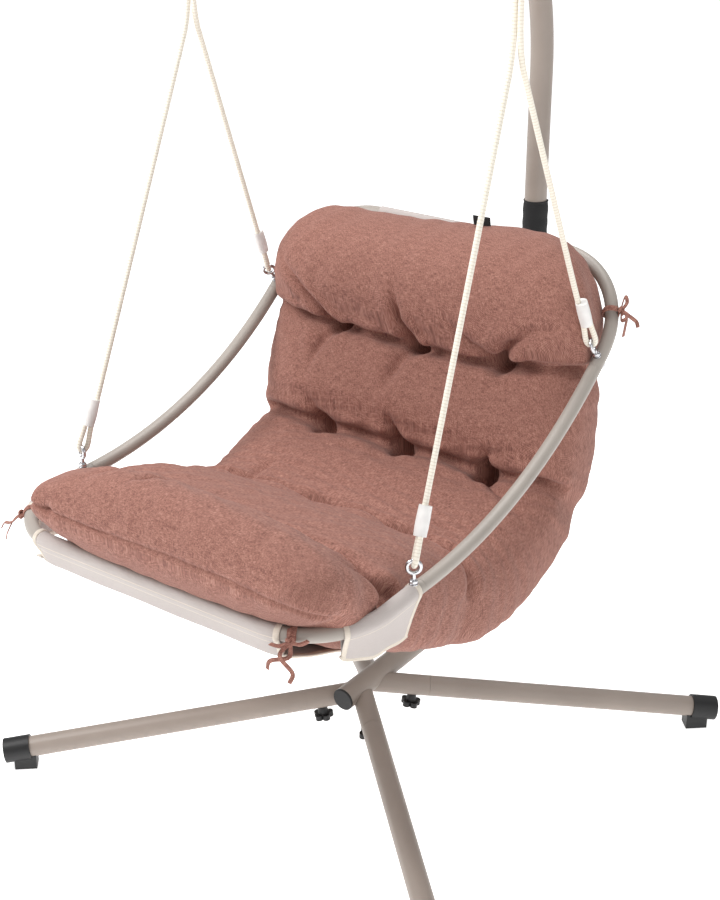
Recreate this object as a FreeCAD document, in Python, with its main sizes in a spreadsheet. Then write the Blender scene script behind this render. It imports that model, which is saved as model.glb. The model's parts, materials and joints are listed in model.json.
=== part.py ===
import FreeCAD, Part
import math
import os

import Sketcher

Vector = FreeCAD.Vector
Placement = FreeCAD.Placement
Rotation = FreeCAD.Rotation

doc = FreeCAD.newDocument("HangingLoungeChair")
sheet = doc.addObject("Spreadsheet::Sheet", "Dims")
dims = {}


class Size:
    """A number together with the sheet expression that gives it."""

    def __init__(self, value, text):
        self.value, self.text = float(value), text

    def _join(self, other, sign, value, swap=False):
        text = other.text if isinstance(other, Size) else repr(float(other))
        left, right = (text, self.text) if swap else (self.text, text)
        return Size(value, "(%s %s %s)" % (left, sign, right))

    def __float__(self):
        return self.value

    def __add__(self, other):
        return self._join(other, "+", self.value + float(other))

    def __radd__(self, other):
        return self._join(other, "+", self.value + float(other), True)

    def __sub__(self, other):
        return self._join(other, "-", self.value - float(other))

    def __rsub__(self, other):
        return self._join(other, "-", float(other) - self.value, True)

    def __mul__(self, other):
        return self._join(other, "*", self.value * float(other))

    def __rmul__(self, other):
        return self._join(other, "*", self.value * float(other), True)

    def __truediv__(self, other):
        return self._join(other, "/", self.value / float(other))

    def __neg__(self):
        return Size(-self.value, "(0 - %s)" % self.text)


def size(alias, value, note):
    """Writes one driving dimension into the sheet and returns it."""
    row = len(dims) + 1
    sheet.set("A%d" % row, note)
    sheet.set("B%d" % row, repr(float(value)))
    sheet.setAlias("B%d" % row, alias)
    dims[alias] = Size(value, "Dims." + alias)
    return dims[alias]


# ---- driving dimensions, millimetres and degrees ------------------------------------------------
tubeGap = size("tube_gap", 0.25, "radial gap between a tube and what slides into it")
looseGap = size("loose_gap", 0.5, "gap between pieces that hang or swing in one another")
weldGap = size("seat_gap", 0.3, "gap between pieces that only lie against each other")
originShift = size("origin_shift", -10.6, "how far the hub sits from the middle of the footprint")

mastOd = size("mast_od", 46, "mast tube outside diameter")
mastWall = size("mast_wall", 2, "mast tube wall")
mastFront = size("mast_front", 59.3, "mast front end ahead of the front leg sockets")
mastAxisHub = size("mast_axis_hub", 150.9, "height of the mast axis over the front sockets")
mastRise = size("mast_rise", 2.9, "upward tilt of the mast foot, degrees")
mastBack = size("mast_back", 595, "how far behind the hub the mast stands")
mastBendLow = size("mast_bend_low", 430, "radius of the lower mast bend")
mastBendTop = size("mast_bend_top", 560, "radius of the arch")
mastTopAxis = size("mast_top_axis", 1850, "height of the arm axis")
mastJoint = size("mast_joint", 700, "height where the two mast tubes meet")
mastSleeve = size("mast_sleeve", 160, "length of the sleeve inside the mast joint")
wrapHeight = size("wrap_height", 74, "height of the padded wrap on the mast")
wrapLow = size("wrap_low", 941, "height of the wrap's lower edge")
wrapThick = size("wrap_thick", 4, "thickness of the wrap")

legOd = size("leg_od", 42, "leg tube outside diameter")
legWall = size("leg_wall", 1.8, "leg tube wall")
legReach = size("leg_reach", 722, "leg tip measured from the mast's centre plane")
legSpread = size("leg_spread", 48, "leg angle from the fore-and-aft line, degrees")
legFall = size("leg_fall", 8.18, "leg slope downwards, degrees")
socketReach = size("socket_reach", 115, "end of the leg sockets from the centre plane")
socketDrop = size("socket_drop", 12.1, "leg axis below the mast axis at the hub")
socketPitch = size("socket_pitch", 39.4, "rear sockets behind the front sockets")
insertLength = size("insert_length", 60, "reduced leg end inside its socket")
capOd = size("cap_od", 50, "foot cap outside diameter")
capLength = size("cap_length", 52, "foot cap length")
capSkin = size("cap_skin", 4, "foot cap end wall")
padWidth = size("pad_width", 34, "width of the block under a foot cap")
padLength = size("pad_length", 44, "length of the block under a foot cap")
knobAlong = size("knob_along", 84, "knob position along the leg axis")
knobRadius = size("knob_radius", 20, "reach of the knob's lobes")
knobThick = size("knob_thick", 11, "thickness of the knob's lobes")
knobNeck = size("knob_neck", 14, "length of the knob's tapered neck")
knobScrew = size("knob_screw", 8, "knob screw diameter")

hookY = size("hook_behind_hub", -53.6, "fore-and-aft position of the hanging point")
eyeWire = size("hanger_wire", 8, "wire of the hanging eye and the snap hook")
eyeRing = size("hanger_ring", 14, "centre-line radius of the hanging eye")
hookLength = size("hook_length", 72, "centre-line length of the snap hook")
hookWidth = size("hook_width", 34, "centre-line width of the snap hook")
swivelRing = size("swivel_ring", 10, "centre-line radius of the swivel's eye")
swivelWire = size("swivel_wire", 7, "wire of the swivel's eye")
spreaderZ = size("spreader_z", 1640, "height of the spreader bar's axis")
spreaderOd = size("spreader_od", 25, "spreader bar outside diameter")
spreaderHalf = size("spreader_half", 366, "half the length of the spreader bar")

ropeOd = size("rope_od", 10, "rope diameter")
ropeHalf = size("rope_half", 339.3, "rope pairs from the centre plane")
apexZ = size("apex_z", 1447, "height where the two strands of a side meet")
strandPitch = size("strand_pitch", 10.6, "distance between the two strands over the bar")
barrelOd = size("barrel_od", 23, "rope barrel outside diameter")
barrelLength = size("barrel_length", 50, "rope barrel length")

frameOd = size("frame_od", 25, "seat frame tube outside diameter")
frameWall = size("frame_wall", 1.5, "seat frame tube wall")
frameHalf = size("frame_half", 375, "seat frame side tubes from the centre plane")
frontBoltY = size("front_bolt_y", -359.5, "front eyebolts behind the hub")
frontTubeZ = size("front_tube_z", 649.5, "seat frame height at the front joints")
sideStart = size("side_start", 2.4, "slope of the side tubes at the front joint, degrees")
sideBend = size("side_bend", 886, "radius of the side tubes")
sideTurn = size("side_turn", 38, "how far the side tubes turn upwards, degrees")
jointStep = size("joint_step", 19.5, "frame joint beyond its eyebolt")
frontLeg = size("front_leg", 229, "front bar ahead of the front joints")
frontDrop = size("front_drop", 5, "downward slope of the front piece, degrees")
frontCorner = size("front_corner", 140, "corner radius of the front piece")
backLeg = size("back_leg", 212, "back bar beyond the rear joints")
backRise = size("back_rise", 50, "slope of the back piece, degrees")
backCorner = size("back_corner", 163, "corner radius of the back piece")
boltWire = size("bolt_wire", 7, "eyebolt wire")
boltRing = size("bolt_ring", 11, "centre-line radius of an eyebolt's eye")
boltEye = size("bolt_eye", 44.5, "eye centre above the frame tube's axis")

clothThick = size("cloth_thick", 2.4, "thickness of the sling")
slingHalf = size("sling_half", 325, "half the width of the sling panel")
slingFrontY = size("sling_front_y", -566, "front edge of the sling panel")
slingFrontZ = size("sling_front_z", 592, "height of the sling panel's front edge")
slingFall = size("sling_fall", 22, "slope of the seat, degrees")
slingBend = size("sling_bend", 351, "radius of the sling's belly")
slingRise = size("sling_rise", 85.5, "slope of the back, degrees")
slingSeat = size("sling_seat", 907, "front edge of the panel to where seat and back lines cross")
slingTop = size("sling_top", 754, "the same crossing up to the sling's top edge")
cushionHalf = size("cushion_half", 357, "half the width of the cushion")
cushionThick = size("cushion_thick", 178, "thickness of the cushion")
rollRadius = size("roll_radius", 76, "radius of the cushion's front roll")
tieWidth = size("tie_width", 9, "width of the tie straps")
tieThick = size("tie_thick", 2.4, "thickness of the tie straps")
doc.recompute()

nodes = []
xAxis, yAxis, zAxis = Vector(1, 0, 0), Vector(0, 1, 0), Vector(0, 0, 1)
origin = Vector(0, float(originShift), 0)


def add(kind, name):
    return doc.addObject(kind, name)


def bind(obj, **sizes):
    """Sets properties and ties each one to its sheet expression."""
    for prop, value in sizes.items():
        setattr(obj, prop, float(value))
        if isinstance(value, Size):
            obj.setExpression(prop, value.text)
    return obj


def finish(obj, label):
    """Names a finished sub-part and lists it for export."""
    obj.Label = label
    nodes.append(obj)
    return obj


def aim(base, direction, roll=0.0):
    """Placement with local Z along direction, turned by roll degrees about it."""
    turn = Rotation(zAxis, Vector(direction))
    return Placement(Vector(base), turn.multiply(Rotation(zAxis, roll)))


def rod(radius, length, base, direction):
    obj = bind(add("Part::Cylinder", "Rod"), Radius=radius, Height=length)
    obj.Placement = aim(base, direction)
    return obj


def block(length, width, height, placement):
    """Box centred on its placement in X and Y, standing on it in Z."""
    obj = bind(add("Part::Box", "Block"), Length=length, Width=width, Height=height)
    obj.Placement = placement.multiply(Placement(Vector(-float(length) / 2, -float(width) / 2, 0), Rotation()))
    return obj


def ring(ringRadius, wireRadius, centre, axis):
    obj = bind(add("Part::Torus", "Ring"), Radius1=ringRadius, Radius2=wireRadius)
    obj.Placement = aim(centre, axis)
    return obj


def cut(base, tool):
    obj = add("Part::Cut", "Cut")
    obj.Base, obj.Tool = base, tool
    return obj


def common(base, tool):
    obj = add("Part::Common", "Common")
    obj.Base, obj.Tool = base, tool
    return obj


def fuse(*shapes):
    obj = add("Part::MultiFuse", "Fuse")
    obj.Shapes = list(shapes)
    return obj


def group(*shapes):
    """Separate solids that share one node."""
    obj = add("Part::Compound", "Group")
    obj.Links = list(shapes)
    return obj


def cornered(points, radii):
    """Straight runs joined by tangent arcs: one radius for each inner point."""
    edges, start = [], Vector(points[0])
    for i in range(1, len(points) - 1):
        corner = Vector(points[i])
        back = (Vector(points[i - 1]) - corner).normalize()
        ahead = (Vector(points[i + 1]) - corner).normalize()
        half = back.getAngle(ahead) / 2
        radius = float(radii[i - 1])
        reach = radius / math.tan(half)
        first, last = corner + back * reach, corner + ahead * reach
        middle = (back + ahead).normalize()
        centre = corner + middle * (radius / math.sin(half))
        if (first - start).Length > 1e-3:
            edges.append(Part.LineSegment(start, first).toShape())
        edges.append(Part.Arc(first, centre - middle * radius, last).toShape())
        start = last
    end = Vector(points[-1])
    if (end - start).Length > 1e-3:
        edges.append(Part.LineSegment(start, end).toShape())
    return Part.Wire(edges)


def path(wire):
    obj = add("Part::Feature", "Path")
    obj.Shape = wire
    return obj


def sweep(spine, radius):
    """Round section of the given radius along a path object."""
    first = spine.Shape.Edges[0]
    tangent = first.tangentAt(first.FirstParameter)
    section = bind(add("Part::Circle", "Section"), Radius=radius)
    section.Placement = aim(first.valueAt(first.FirstParameter), tangent)
    obj = add("Part::Sweep", "Sweep")
    obj.Sections = [section]
    obj.Spine = (spine, ["Edge%d" % (i + 1) for i in range(len(spine.Shape.Edges))])
    obj.Solid = True
    return obj


def bentTube(wire, od, wall):
    spine = path(wire)
    return cut(sweep(spine, od / 2), sweep(spine, od / 2 - wall))


def straightTube(od, wall, length, base, direction):
    return cut(rod(od / 2, length, base, direction), rod(od / 2 - wall, length, base, direction))


def sketchOn(body, role, corners):
    """Closed polygon sketch on an origin plane, each corner held by two driven distances."""
    plane = next(f for f in body.Origin.OriginFeatures if f.Role == role)
    sketch = body.newObject("Sketcher::SketchObject", "Sketch")
    sketch.AttachmentSupport = (plane, [""])
    sketch.MapMode = "FlatFace"
    spots = [Vector(float(x), float(y), 0) for x, y in corners]
    for i, spot in enumerate(spots):
        sketch.addGeometry(Part.LineSegment(spot, spots[(i + 1) % len(spots)]), False)
    for i in range(len(spots)):
        sketch.addConstraint(Sketcher.Constraint("Coincident", i, 2, (i + 1) % len(spots), 1))
    for i, (x, y) in enumerate(corners):
        for kind, value in (("DistanceX", x), ("DistanceY", y)):
            index = sketch.addConstraint(Sketcher.Constraint(kind, -1, 1, i, 1, float(value)))
            if isinstance(value, Size):
                sketch.setExpression("Constraints[%d]" % index, value.text)
    return sketch


def turned(name, corners, placement):
    """PartDesign body turned about its own Z axis from (radius, height) corners."""
    body = add("PartDesign::Body", name)
    sketch = sketchOn(body, "XZ_Plane", corners)
    feature = body.newObject("PartDesign::Revolution", "Turn")
    feature.Profile = sketch
    feature.ReferenceAxis = (sketch, ["V_Axis"])
    feature.Angle = 360
    body.Placement = placement
    return body


def padded(name, corners, height, placement):
    """PartDesign body padded along its own Z axis from (x, y) corners."""
    body = add("PartDesign::Body", name)
    sketch = sketchOn(body, "XY_Plane", corners)
    feature = body.newObject("PartDesign::Pad", "Pad")
    feature.Profile = sketch
    bind(feature, Length=height)
    body.Placement = placement
    return body


def hexagon(across):
    """Corners of a hexagon with the given distance across its flats."""
    return [(across * (math.cos(math.radians(60 * k + 30)) / math.sqrt(3)),
             across * (math.sin(math.radians(60 * k + 30)) / math.sqrt(3))) for k in range(6)]


def degrees(value):
    return math.radians(float(value))


# ---- mast ------------------------------------------------------------------------------------
rise = degrees(mastRise)
mastDirection = Vector(0, math.cos(rise), math.sin(rise))
mastHub = origin + Vector(0, 0, float(mastAxisHub))
mastStart = mastHub - mastDirection * (float(mastFront) / math.cos(rise))
mastLine = origin.y + float(mastBack)
footCorner = mastHub + mastDirection * (float(mastBack) / math.cos(rise))
armY = origin.y + float(hookY)
armEnd = Vector(0, armY - 26, float(mastTopAxis))
jointPoint = Vector(0, mastLine, float(mastJoint))

lowWire = cornered([mastStart, footCorner, jointPoint], [mastBendLow])
topWire = cornered([jointPoint, Vector(0, mastLine, float(mastTopAxis)), armEnd], [mastBendTop])

drop = Vector(0, 0, -1)
hangEye = Vector(0, armY, float(mastTopAxis) - float(mastOd) / 2 - float(eyeRing) - float(eyeWire) / 2 - 9)
armTop = float(mastTopAxis) + float(mastOd) / 2
holeBase = Vector(0, armY, float(mastTopAxis) - 40)
armHole = rod(eyeWire / 2 + tubeGap, 80.0, holeBase, zAxis)
mastUpper = cut(bentTube(topWire, mastOd, mastWall), armHole)
finish(mastUpper, "mast_upper")

spread, fall = degrees(legSpread), degrees(legFall)
hubPoint = mastHub - Vector(0, 0, float(socketDrop))
rearPoint = hubPoint + Vector(0, float(socketPitch), float(socketPitch) * math.tan(rise))
legs = {}
for endName, start, fore in (("front", hubPoint, -1), ("back", rearPoint, 1)):
    for sideName, side in (("left", -1), ("right", 1)):
        direction = Vector(side * math.sin(spread) * math.cos(fall), fore * math.cos(spread) * math.cos(fall),
                           -math.sin(fall))
        legs[endName + "_" + sideName] = (start, direction)

mastLower = bentTube(lowWire, mastOd, mastWall)
finish(mastLower, "mast_lower")

sleeveBase = jointPoint - zAxis * (float(mastSleeve) / 2)
finish(straightTube(mastOd - 2 * mastWall - 2 * tubeGap, mastWall, mastSleeve, sleeveBase, zAxis),
       "mast_joint_sleeve")

plugRadius = mastOd / 2
plugBore = mastOd / 2 - mastWall - tubeGap
plugCorners = [(0, -4), (plugRadius - 1.5, -4), (plugRadius, -2.5), (plugRadius, 0), (plugBore, 0), (plugBore, 14),
               (0, 14)]
finish(turned("FootPlug", plugCorners, aim(mastStart, mastDirection)), "mast_foot_plug")
finish(turned("TipPlug", plugCorners, aim(armEnd, yAxis)), "mast_tip_plug")

wrapBase = Vector(0, mastLine, float(wrapLow))
wrapRing = cut(rod(mastOd / 2 + weldGap + wrapThick, wrapHeight, wrapBase, zAxis),
               rod(mastOd / 2 + weldGap, wrapHeight, wrapBase, zAxis))
tabPlace = Placement(wrapBase + Vector(float(mastOd) / 2 + 3, -3, float(wrapHeight) - 22), Rotation(yAxis, 8))
wrapTab = block(4.0, 26.0, 34.0, tabPlace)
finish(fuse(wrapRing, wrapTab), "mast_wrap")

# ---- leg sockets, legs, feet and clamp knobs --------------------------------------------------
mastCore = sweep(path(lowWire), mastOd / 2 + 0.05)
legStep = float(socketReach) + 0.5
insertOd = legOd - 2 * legWall - 2 * tubeGap
legPlay = 2.5
for name, (start, direction) in legs.items():
    below = Vector(direction).cross(Vector(-direction.y, direction.x, 0)).normalize()
    if below.z > 0:
        below = -below
    knobCentre = start + direction * float(knobAlong)
    screwHole = rod(knobScrew / 2 + tubeGap, legOd, knobCentre, below)
    socket = cut(straightTube(legOd, legWall, socketReach, start, direction), mastCore)
    side, fore = (1 if direction.x > 0 else -1), (1 if direction.y > 0 else -1)
    quarter = Vector(side * 100.05, (hubPoint.y + rearPoint.y) / 2 + fore * 100.05, 20)
    room = block(200.0, 200.0, 200.0, Placement(quarter, Rotation()))
    finish(common(cut(socket, screwHole), room), "leg_socket_" + name)

    legLength = legReach - socketReach - legPlay
    legTube = straightTube(legOd, legWall, legLength, start + direction * legStep, direction)
    insertStart = start + direction * (legStep - float(insertLength))
    insert = straightTube(insertOd, legWall, insertLength + 12, insertStart, direction)
    collar = straightTube(legOd, legWall + tubeGap + 0.6, 12.0, start + direction * legStep, direction)
    finish(cut(fuse(legTube, insert, collar), screwHole), "leg_" + name)

    tip = start + direction * float(legReach)
    capBase = tip - direction * (float(capLength) - float(capSkin))
    cap = rod(capOd / 2, capLength, capBase, direction)
    flat = Vector(direction.x, direction.y, 0).normalize()
    padCentre = Vector(tip.x, tip.y, 0) - flat * 36.0
    padPlace = Placement(padCentre, Rotation(zAxis, math.degrees(math.atan2(flat.y, flat.x))))
    capPad = block(padLength, padWidth, tip.z, padPlace)
    mouth = 30.0
    capBore = rod(legOd / 2 + 0.25, capLength + mouth, capBase - direction * (float(capSkin) + mouth), direction)
    finish(cut(fuse(cap, capPad), capBore), "foot_cap_" + name)

    # the knob hangs under its socket: screw through both walls, tapered neck, then lobes
    neckTop = legOd / 2 + weldGap
    screwTop = legOd / 2 - 8
    lobeTop = neckTop + knobNeck
    lobeLow = lobeTop + knobThick
    stem = [(0, screwTop), (knobScrew / 2, screwTop), (knobScrew / 2, neckTop), (knobRadius * 0.42, neckTop),
            (knobRadius * 0.55, lobeTop), (knobRadius * 0.55, lobeLow), (knobRadius * 0.4, lobeLow + 2.5),
            (0, lobeLow + 2.5)]
    place = aim(knobCentre, below)
    knobStem = turned("KnobStem", stem, place)
    lobes = [knobStem]
    for k in range(5):
        turn = place.multiply(Placement(Vector(), Rotation(zAxis, 72 * k)))
        spot = turn.multiply(Placement(Vector(float(knobRadius) * 0.62, 0, float(lobeTop)), Rotation()))
        lobe = bind(add("Part::Cylinder", "Lobe"), Radius=knobRadius * 0.38, Height=knobThick)
        lobe.Placement = spot
        lobes.append(lobe)
    finish(fuse(*lobes), "knob_" + name)

# ---- hanger, snap hook and swivel -------------------------------------------------------------
shankBase = hangEye + zAxis * (float(eyeRing) - 1)
shankLength = armTop - shankBase.z + 12
hanger = fuse(ring(eyeRing, eyeWire / 2, hangEye, yAxis), rod(eyeWire / 2, shankLength, shankBase, zAxis))
finish(hanger, "hanger_eyebolt")
hangerNut = size("hanger_nut_flats", 13, "width across the flats of the hanger's nuts")
nutTop = padded("HangerNut", hexagon(hangerNut), 6.5, Placement(Vector(0, armY, armTop + 1.6), Rotation()))
nutLow = padded("HangerLockNut", hexagon(hangerNut), 6.0,
                Placement(Vector(0, armY, armTop - float(mastOd) - 8), Rotation()))
washerTop = rod(10.0, 1.5, Vector(0, armY, armTop + 0.05), zAxis)
nutHoles = [rod(eyeWire / 2 + 0.02, 90.0, Vector(0, armY, armTop - 70), zAxis) for _ in range(3)]
hangerStack = [cut(body, hole) for body, hole in zip((nutTop, nutLow, washerTop), nutHoles)]
finish(group(*hangerStack), "hanger_nuts")

wireGap = float(eyeWire) + float(looseGap)
hookTop = Vector(0, armY, hangEye.z - float(eyeRing) + wireGap)
hookLow = hookTop - zAxis * float(hookLength)
halfWidth = float(hookWidth) / 2
gateSide = halfWidth
hookPoints = [hookTop + Vector(0, gateSide, -halfWidth - 3), hookTop + Vector(0, gateSide, 0),
              hookTop + Vector(0, -gateSide, 0), hookLow + Vector(0, -gateSide, 0), hookLow + Vector(0, gateSide, 0),
              hookLow + Vector(0, gateSide, halfWidth + 3)]
hookWire = cornered(hookPoints, [hookWidth / 2 - 0.1] * 4)
finish(sweep(path(hookWire), eyeWire / 2), "snap_hook")
gateLow = hookLow + Vector(0, gateSide, halfWidth + 4.2)
gateLength = hookLength - hookWidth - 6 - 1.6
finish(rod(eyeWire / 2 - 1, gateLength, gateLow, zAxis), "snap_gate")

swivelCentre = hookLow + zAxis * (float(eyeWire) / 2 + float(swivelWire) / 2 + float(looseGap) - float(swivelRing))
neckZ = swivelCentre.z - float(swivelRing) - 1
finish(fuse(ring(swivelRing, swivelWire / 2, swivelCentre, yAxis),
            rod(11.0, 20.0, Vector(0, armY, neckZ - 20), zAxis)), "swivel_eye")
swivelLow = neckZ - 20 - float(looseGap)
bar = Vector(0, armY, float(spreaderZ))
lugTop = swivelLow - (bar.z + float(spreaderOd) / 2)
lug = rod(11.0, lugTop + 6, bar + zAxis * (float(spreaderOd) / 2 - 6), zAxis)
barCore = rod(spreaderOd / 2, spreaderHalf * 2, bar - xAxis * float(spreaderHalf), xAxis)
finish(cut(lug, barCore), "swivel_body")
finish(straightTube(spreaderOd, frameWall, spreaderHalf * 2, bar - xAxis * float(spreaderHalf), xAxis), "spreader_bar")
endPlugs, collars = [], []
endRadius, endBore = spreaderOd / 2 + 3, spreaderOd / 2 - frameWall - tubeGap
endCorners = [(0, -10), (endRadius - 2, -10), (endRadius, -8), (endRadius, 0), (endBore, 0), (endBore, 16), (0, 16)]
collarAt = float(ropeHalf) - float(strandPitch) / 2 - float(ropeOd) / 2 - 9
for side in (-1, 1):
    endPlugs.append(turned("SpreaderPlug", endCorners, aim(bar + xAxis * (side * float(spreaderHalf)), xAxis * -side)))
    collarBase = bar + xAxis * (side * collarAt - 3.5)
    collars.append(cut(rod(spreaderOd / 2 + 5, 7.0, collarBase, xAxis),
                       rod(spreaderOd / 2 + 0.02, 7.0, collarBase, xAxis)))
finish(group(*endPlugs), "spreader_end_caps")
finish(group(*collars), "spreader_collars")

# ---- seat frame -------------------------------------------------------------------------------
startSlope = degrees(sideStart)
endSlope = startSlope + degrees(sideTurn)
bend = float(sideBend)
frontJoint = origin + Vector(0, float(frontBoltY) + float(jointStep), float(frontTubeZ))
sideCentre = frontJoint + Vector(0, -math.sin(startSlope), math.cos(startSlope)) * bend


def onSide(slope):
    """Point of the side arc where its slope has the given value."""
    return sideCentre + Vector(0, math.sin(slope), -math.cos(slope)) * bend


backJoint = onSide(endSlope)
rearDirection = Vector(0, math.cos(degrees(backRise)), math.sin(degrees(backRise)))
frontDirection = Vector(0, -math.cos(degrees(frontDrop)), -math.sin(degrees(frontDrop)))
sideEndDirection = Vector(0, math.cos(endSlope), math.sin(endSlope))
frontBar = frontJoint + frontDirection * float(frontLeg)
backKnee = backJoint + sideEndDirection * 34.0
backBar = backKnee + rearDirection * (float(backLeg) - 34.0)
half = float(frameHalf)


def mirrored(points):
    return [p + xAxis * -half for p in points] + [p + xAxis * half for p in reversed(points)]


frontWire = cornered(mirrored([frontJoint, frontBar]), [frontCorner, frontCorner])
backWire = cornered(mirrored([backJoint, backKnee, backBar]), [150.0, backCorner, backCorner, 150.0])

boltStep = float(jointStep)
bolts = {
    "front": (frontJoint + frontDirection * boltStep, Vector(0, 0, 1)),
    "back": (backJoint + sideEndDirection * boltStep, Vector(0, -math.sin(endSlope), math.cos(endSlope))),
}
apexY = armY
apex = Vector(0, apexY, float(apexZ))


def boltHole(name, side, radius, reach=24.0):
    centre, up = bolts[name]
    base = centre + xAxis * (side * half) - up * reach
    return rod(radius, 2 * reach, base, up)


holeRadius = boltWire / 2 + tubeGap
for label, wire, name in (("front_tube", frontWire, "front"), ("back_tube", backWire, "back")):
    tube = bentTube(wire, frameOd, frameWall)
    for side in (-1, 1):
        tube = cut(tube, boltHole(name, side, holeRadius))
    finish(tube, label)

stepGap = 0.25 / bend
for sideName, side in (("left", -1), ("right", 1)):
    shift = xAxis * (side * half)
    slopes = [startSlope + stepGap, (startSlope + endSlope) / 2, endSlope - stepGap]
    arc = Part.Wire([Part.Arc(*[onSide(s) + shift for s in slopes]).toShape()])
    swage = frameOd / 2 - frameWall - tubeGap
    main = bentTube(arc, frameOd, frameWall)
    ends = []
    for name, slopeAt, away in (("front", slopes[0], -1), ("back", slopes[2], 1)):
        point = onSide(slopeAt) + shift
        inward = Vector(0, math.cos(slopeAt), math.sin(slopeAt)) * -away
        outward = frontDirection if name == "front" else sideEndDirection
        pegPath = cornered([point + inward * 14, point, point + outward * 36], [300.0])
        peg = cut(sweep(path(pegPath), swage), sweep(path(pegPath), swage - frameWall))
        collarPath = Part.Wire([Part.LineSegment(point + inward * 9, point + inward * 0.6).toShape()])
        collar = cut(sweep(path(collarPath), frameOd / 2 - 0.4), sweep(path(collarPath), swage - 0.4))
        ends += [peg, collar]
    tube = fuse(main, *ends)
    for name in ("front", "back"):
        tube = cut(tube, boltHole(name, side, holeRadius))
    finish(tube, "side_tube_" + sideName)

# ---- eyebolts with their nuts ------------------------------------------------------------------
eyeYaw = {("front", 1): 40, ("front", -1): -20, ("back", 1): -52, ("back", -1): 32}
eyebolts, ballNuts, washers, capNuts, eyeSpots = [], [], [], [], {}
tubeTop = float(frameOd) / 2
seatLean = {"front": 0.7, "back": 0.06}  # the front bolts stand upright on a sloping tube
for (name, side), yaw in eyeYaw.items():
    centre, up = bolts[name]
    centre = centre + xAxis * (side * half)
    eye = centre + up * float(boltEye)
    normal = Vector(math.sin(math.radians(yaw)), -math.cos(math.radians(yaw)), 0)
    normal = (normal - up * normal.dot(up)).normalize()
    eyeSpots[(name, side)] = (eye, up, normal)
    shank = rod(boltWire / 2, boltEye - boltRing + frameOd / 2 + 11.5, centre - up * (tubeTop + 11), up)
    eyebolts.append(fuse(ring(boltRing, boltWire / 2, eye, normal), shank))
    seat = tubeTop + seatLean[name]
    washers.append(cut(rod(7.5, 1.6, centre + up * (seat + 0.1), up),
                       rod(boltWire / 2 + 0.1, 1.6, centre + up * (seat + 0.1), up)))
    nutProfile = [(boltWire / 2 + 0.02, 1.8), (6.5, 1.8), (7, 3.5), (7, 7), (5.5, 9), (boltWire / 2 + 0.02, 9)]
    ballNuts.append(turned("BallNut", nutProfile, aim(centre + up * (seat + 0.2), up)))
    capProfile = [(boltWire / 2 + 0.02, 0.3), (6.5, 0.3), (6.5, 7), (5.5, 10), (3, 12.6), (0, 13.2), (0, 11.2),
                  (boltWire / 2 + 0.02, 11.2)]
    capNuts.append(turned("CapNut", capProfile, aim(centre - up * seat, -up)))
finish(group(*eyebolts), "eyebolts")
finish(group(*washers), "eyebolt_washers")
finish(group(*ballNuts), "eyebolt_nuts")
finish(group(*capNuts), "eyebolt_cap_nuts")

# ---- ropes: loop in the front eye, up to the bar, over it and down to the rear eye ------------------
ropeRadius = float(ropeOd) / 2
overBar = float(spreaderOd) / 2 + ropeRadius + float(looseGap)
wrapRadius = float(boltWire) / 2 + ropeRadius + float(looseGap)
barrels = []


def eyeLoop(key, strand):
    """Loop of one rope end: short tail, round the eye's upper wire, then up to the apex."""
    eye, up, normal = eyeSpots[key]
    pull = (strand - eye).normalize()
    across = (normal - pull * normal.dot(pull)).normalize()
    if across.x * key[1] > 0:
        across = -across
    wire = eye + pull * float(boltRing)
    barrelLow = wire + pull * 39.0
    tight = float(strandPitch) / 2
    inner, outer = barrelLow + across * tight, barrelLow - across * tight
    wide = wrapRadius * 1.15
    bottom = wire - pull * wrapRadius
    loop = [outer + pull * 34.0, outer, bottom - across * wide, bottom + across * wide, inner,
            inner + pull * float(barrelLength)]
    barrels.append((barrelLow, pull, across * tight))
    return loop, [40.0, wrapRadius, wrapRadius, 40.0, 120.0]


ropeLengths = {}
for sideName, side in (("left", -1), ("right", 1)):
    middle = xAxis * (side * float(ropeHalf))
    strandX = float(strandPitch) / 2
    forward, rearward = apex + middle - xAxis * strandX, apex + middle + xAxis * strandX
    frontLoop, frontRadii = eyeLoop(("front", side), forward)
    backLoop, backRadii = eyeLoop(("back", side), rearward)
    parting = float(spreaderZ) - 70
    top = float(spreaderZ) + overBar
    ease = float(spreaderZ) - 8
    climb = [forward, Vector(forward.x, forward.y, parting), Vector(forward.x, armY - overBar, ease),
             Vector(forward.x, armY - overBar, top), Vector(rearward.x, armY + overBar, top),
             Vector(rearward.x, armY + overBar, ease), Vector(rearward.x, rearward.y, parting), rearward]
    climbRadii = [30.0, 40.0, 25.0, overBar - 1.2, overBar - 1.2, 25.0, 40.0, 30.0]
    wire = cornered(frontLoop + climb + backLoop[::-1], frontRadii + climbRadii + backRadii[::-1])
    rope = sweep(path(wire), ropeOd / 2)
    finish(rope, "rope_" + sideName)
    ropeLengths[sideName] = (rope, wire.Length)

sleeves = []
waist, belly = barrelOd * 0.47, barrelOd / 2
barrelCorners = [(0, 0), (waist, 0), (belly, barrelLength * 0.3), (belly, barrelLength * 0.62),
                 (waist, barrelLength), (0, barrelLength)]
holeRope = ropeOd / 2 + 0.2
for low, pull, offset in barrels:
    barrel = turned("Barrel", barrelCorners, aim(low, pull))
    through = rod(holeRope, barrelLength + 4, low + offset - pull * 2, pull)
    blind = rod(holeRope, 37.0, low - offset - pull * 2, pull)
    sleeves.append(cut(cut(barrel, through), blind))
barrelBlock = group(*sleeves)
finish(barrelBlock, "rope_barrels")

# ---- sling: one panel, sleeves on the front and back bars and on the front corners --------------------
seatDirection = Vector(0, math.cos(degrees(slingFall)), -math.sin(degrees(slingFall)))
backDirection = Vector(0, math.cos(degrees(slingRise)), math.sin(degrees(slingRise)))
slingStart = origin + Vector(0, float(slingFrontY), float(slingFrontZ))
slingCorner = slingStart + seatDirection * float(slingSeat)
slingEnd = slingCorner + backDirection * float(slingTop)


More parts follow.
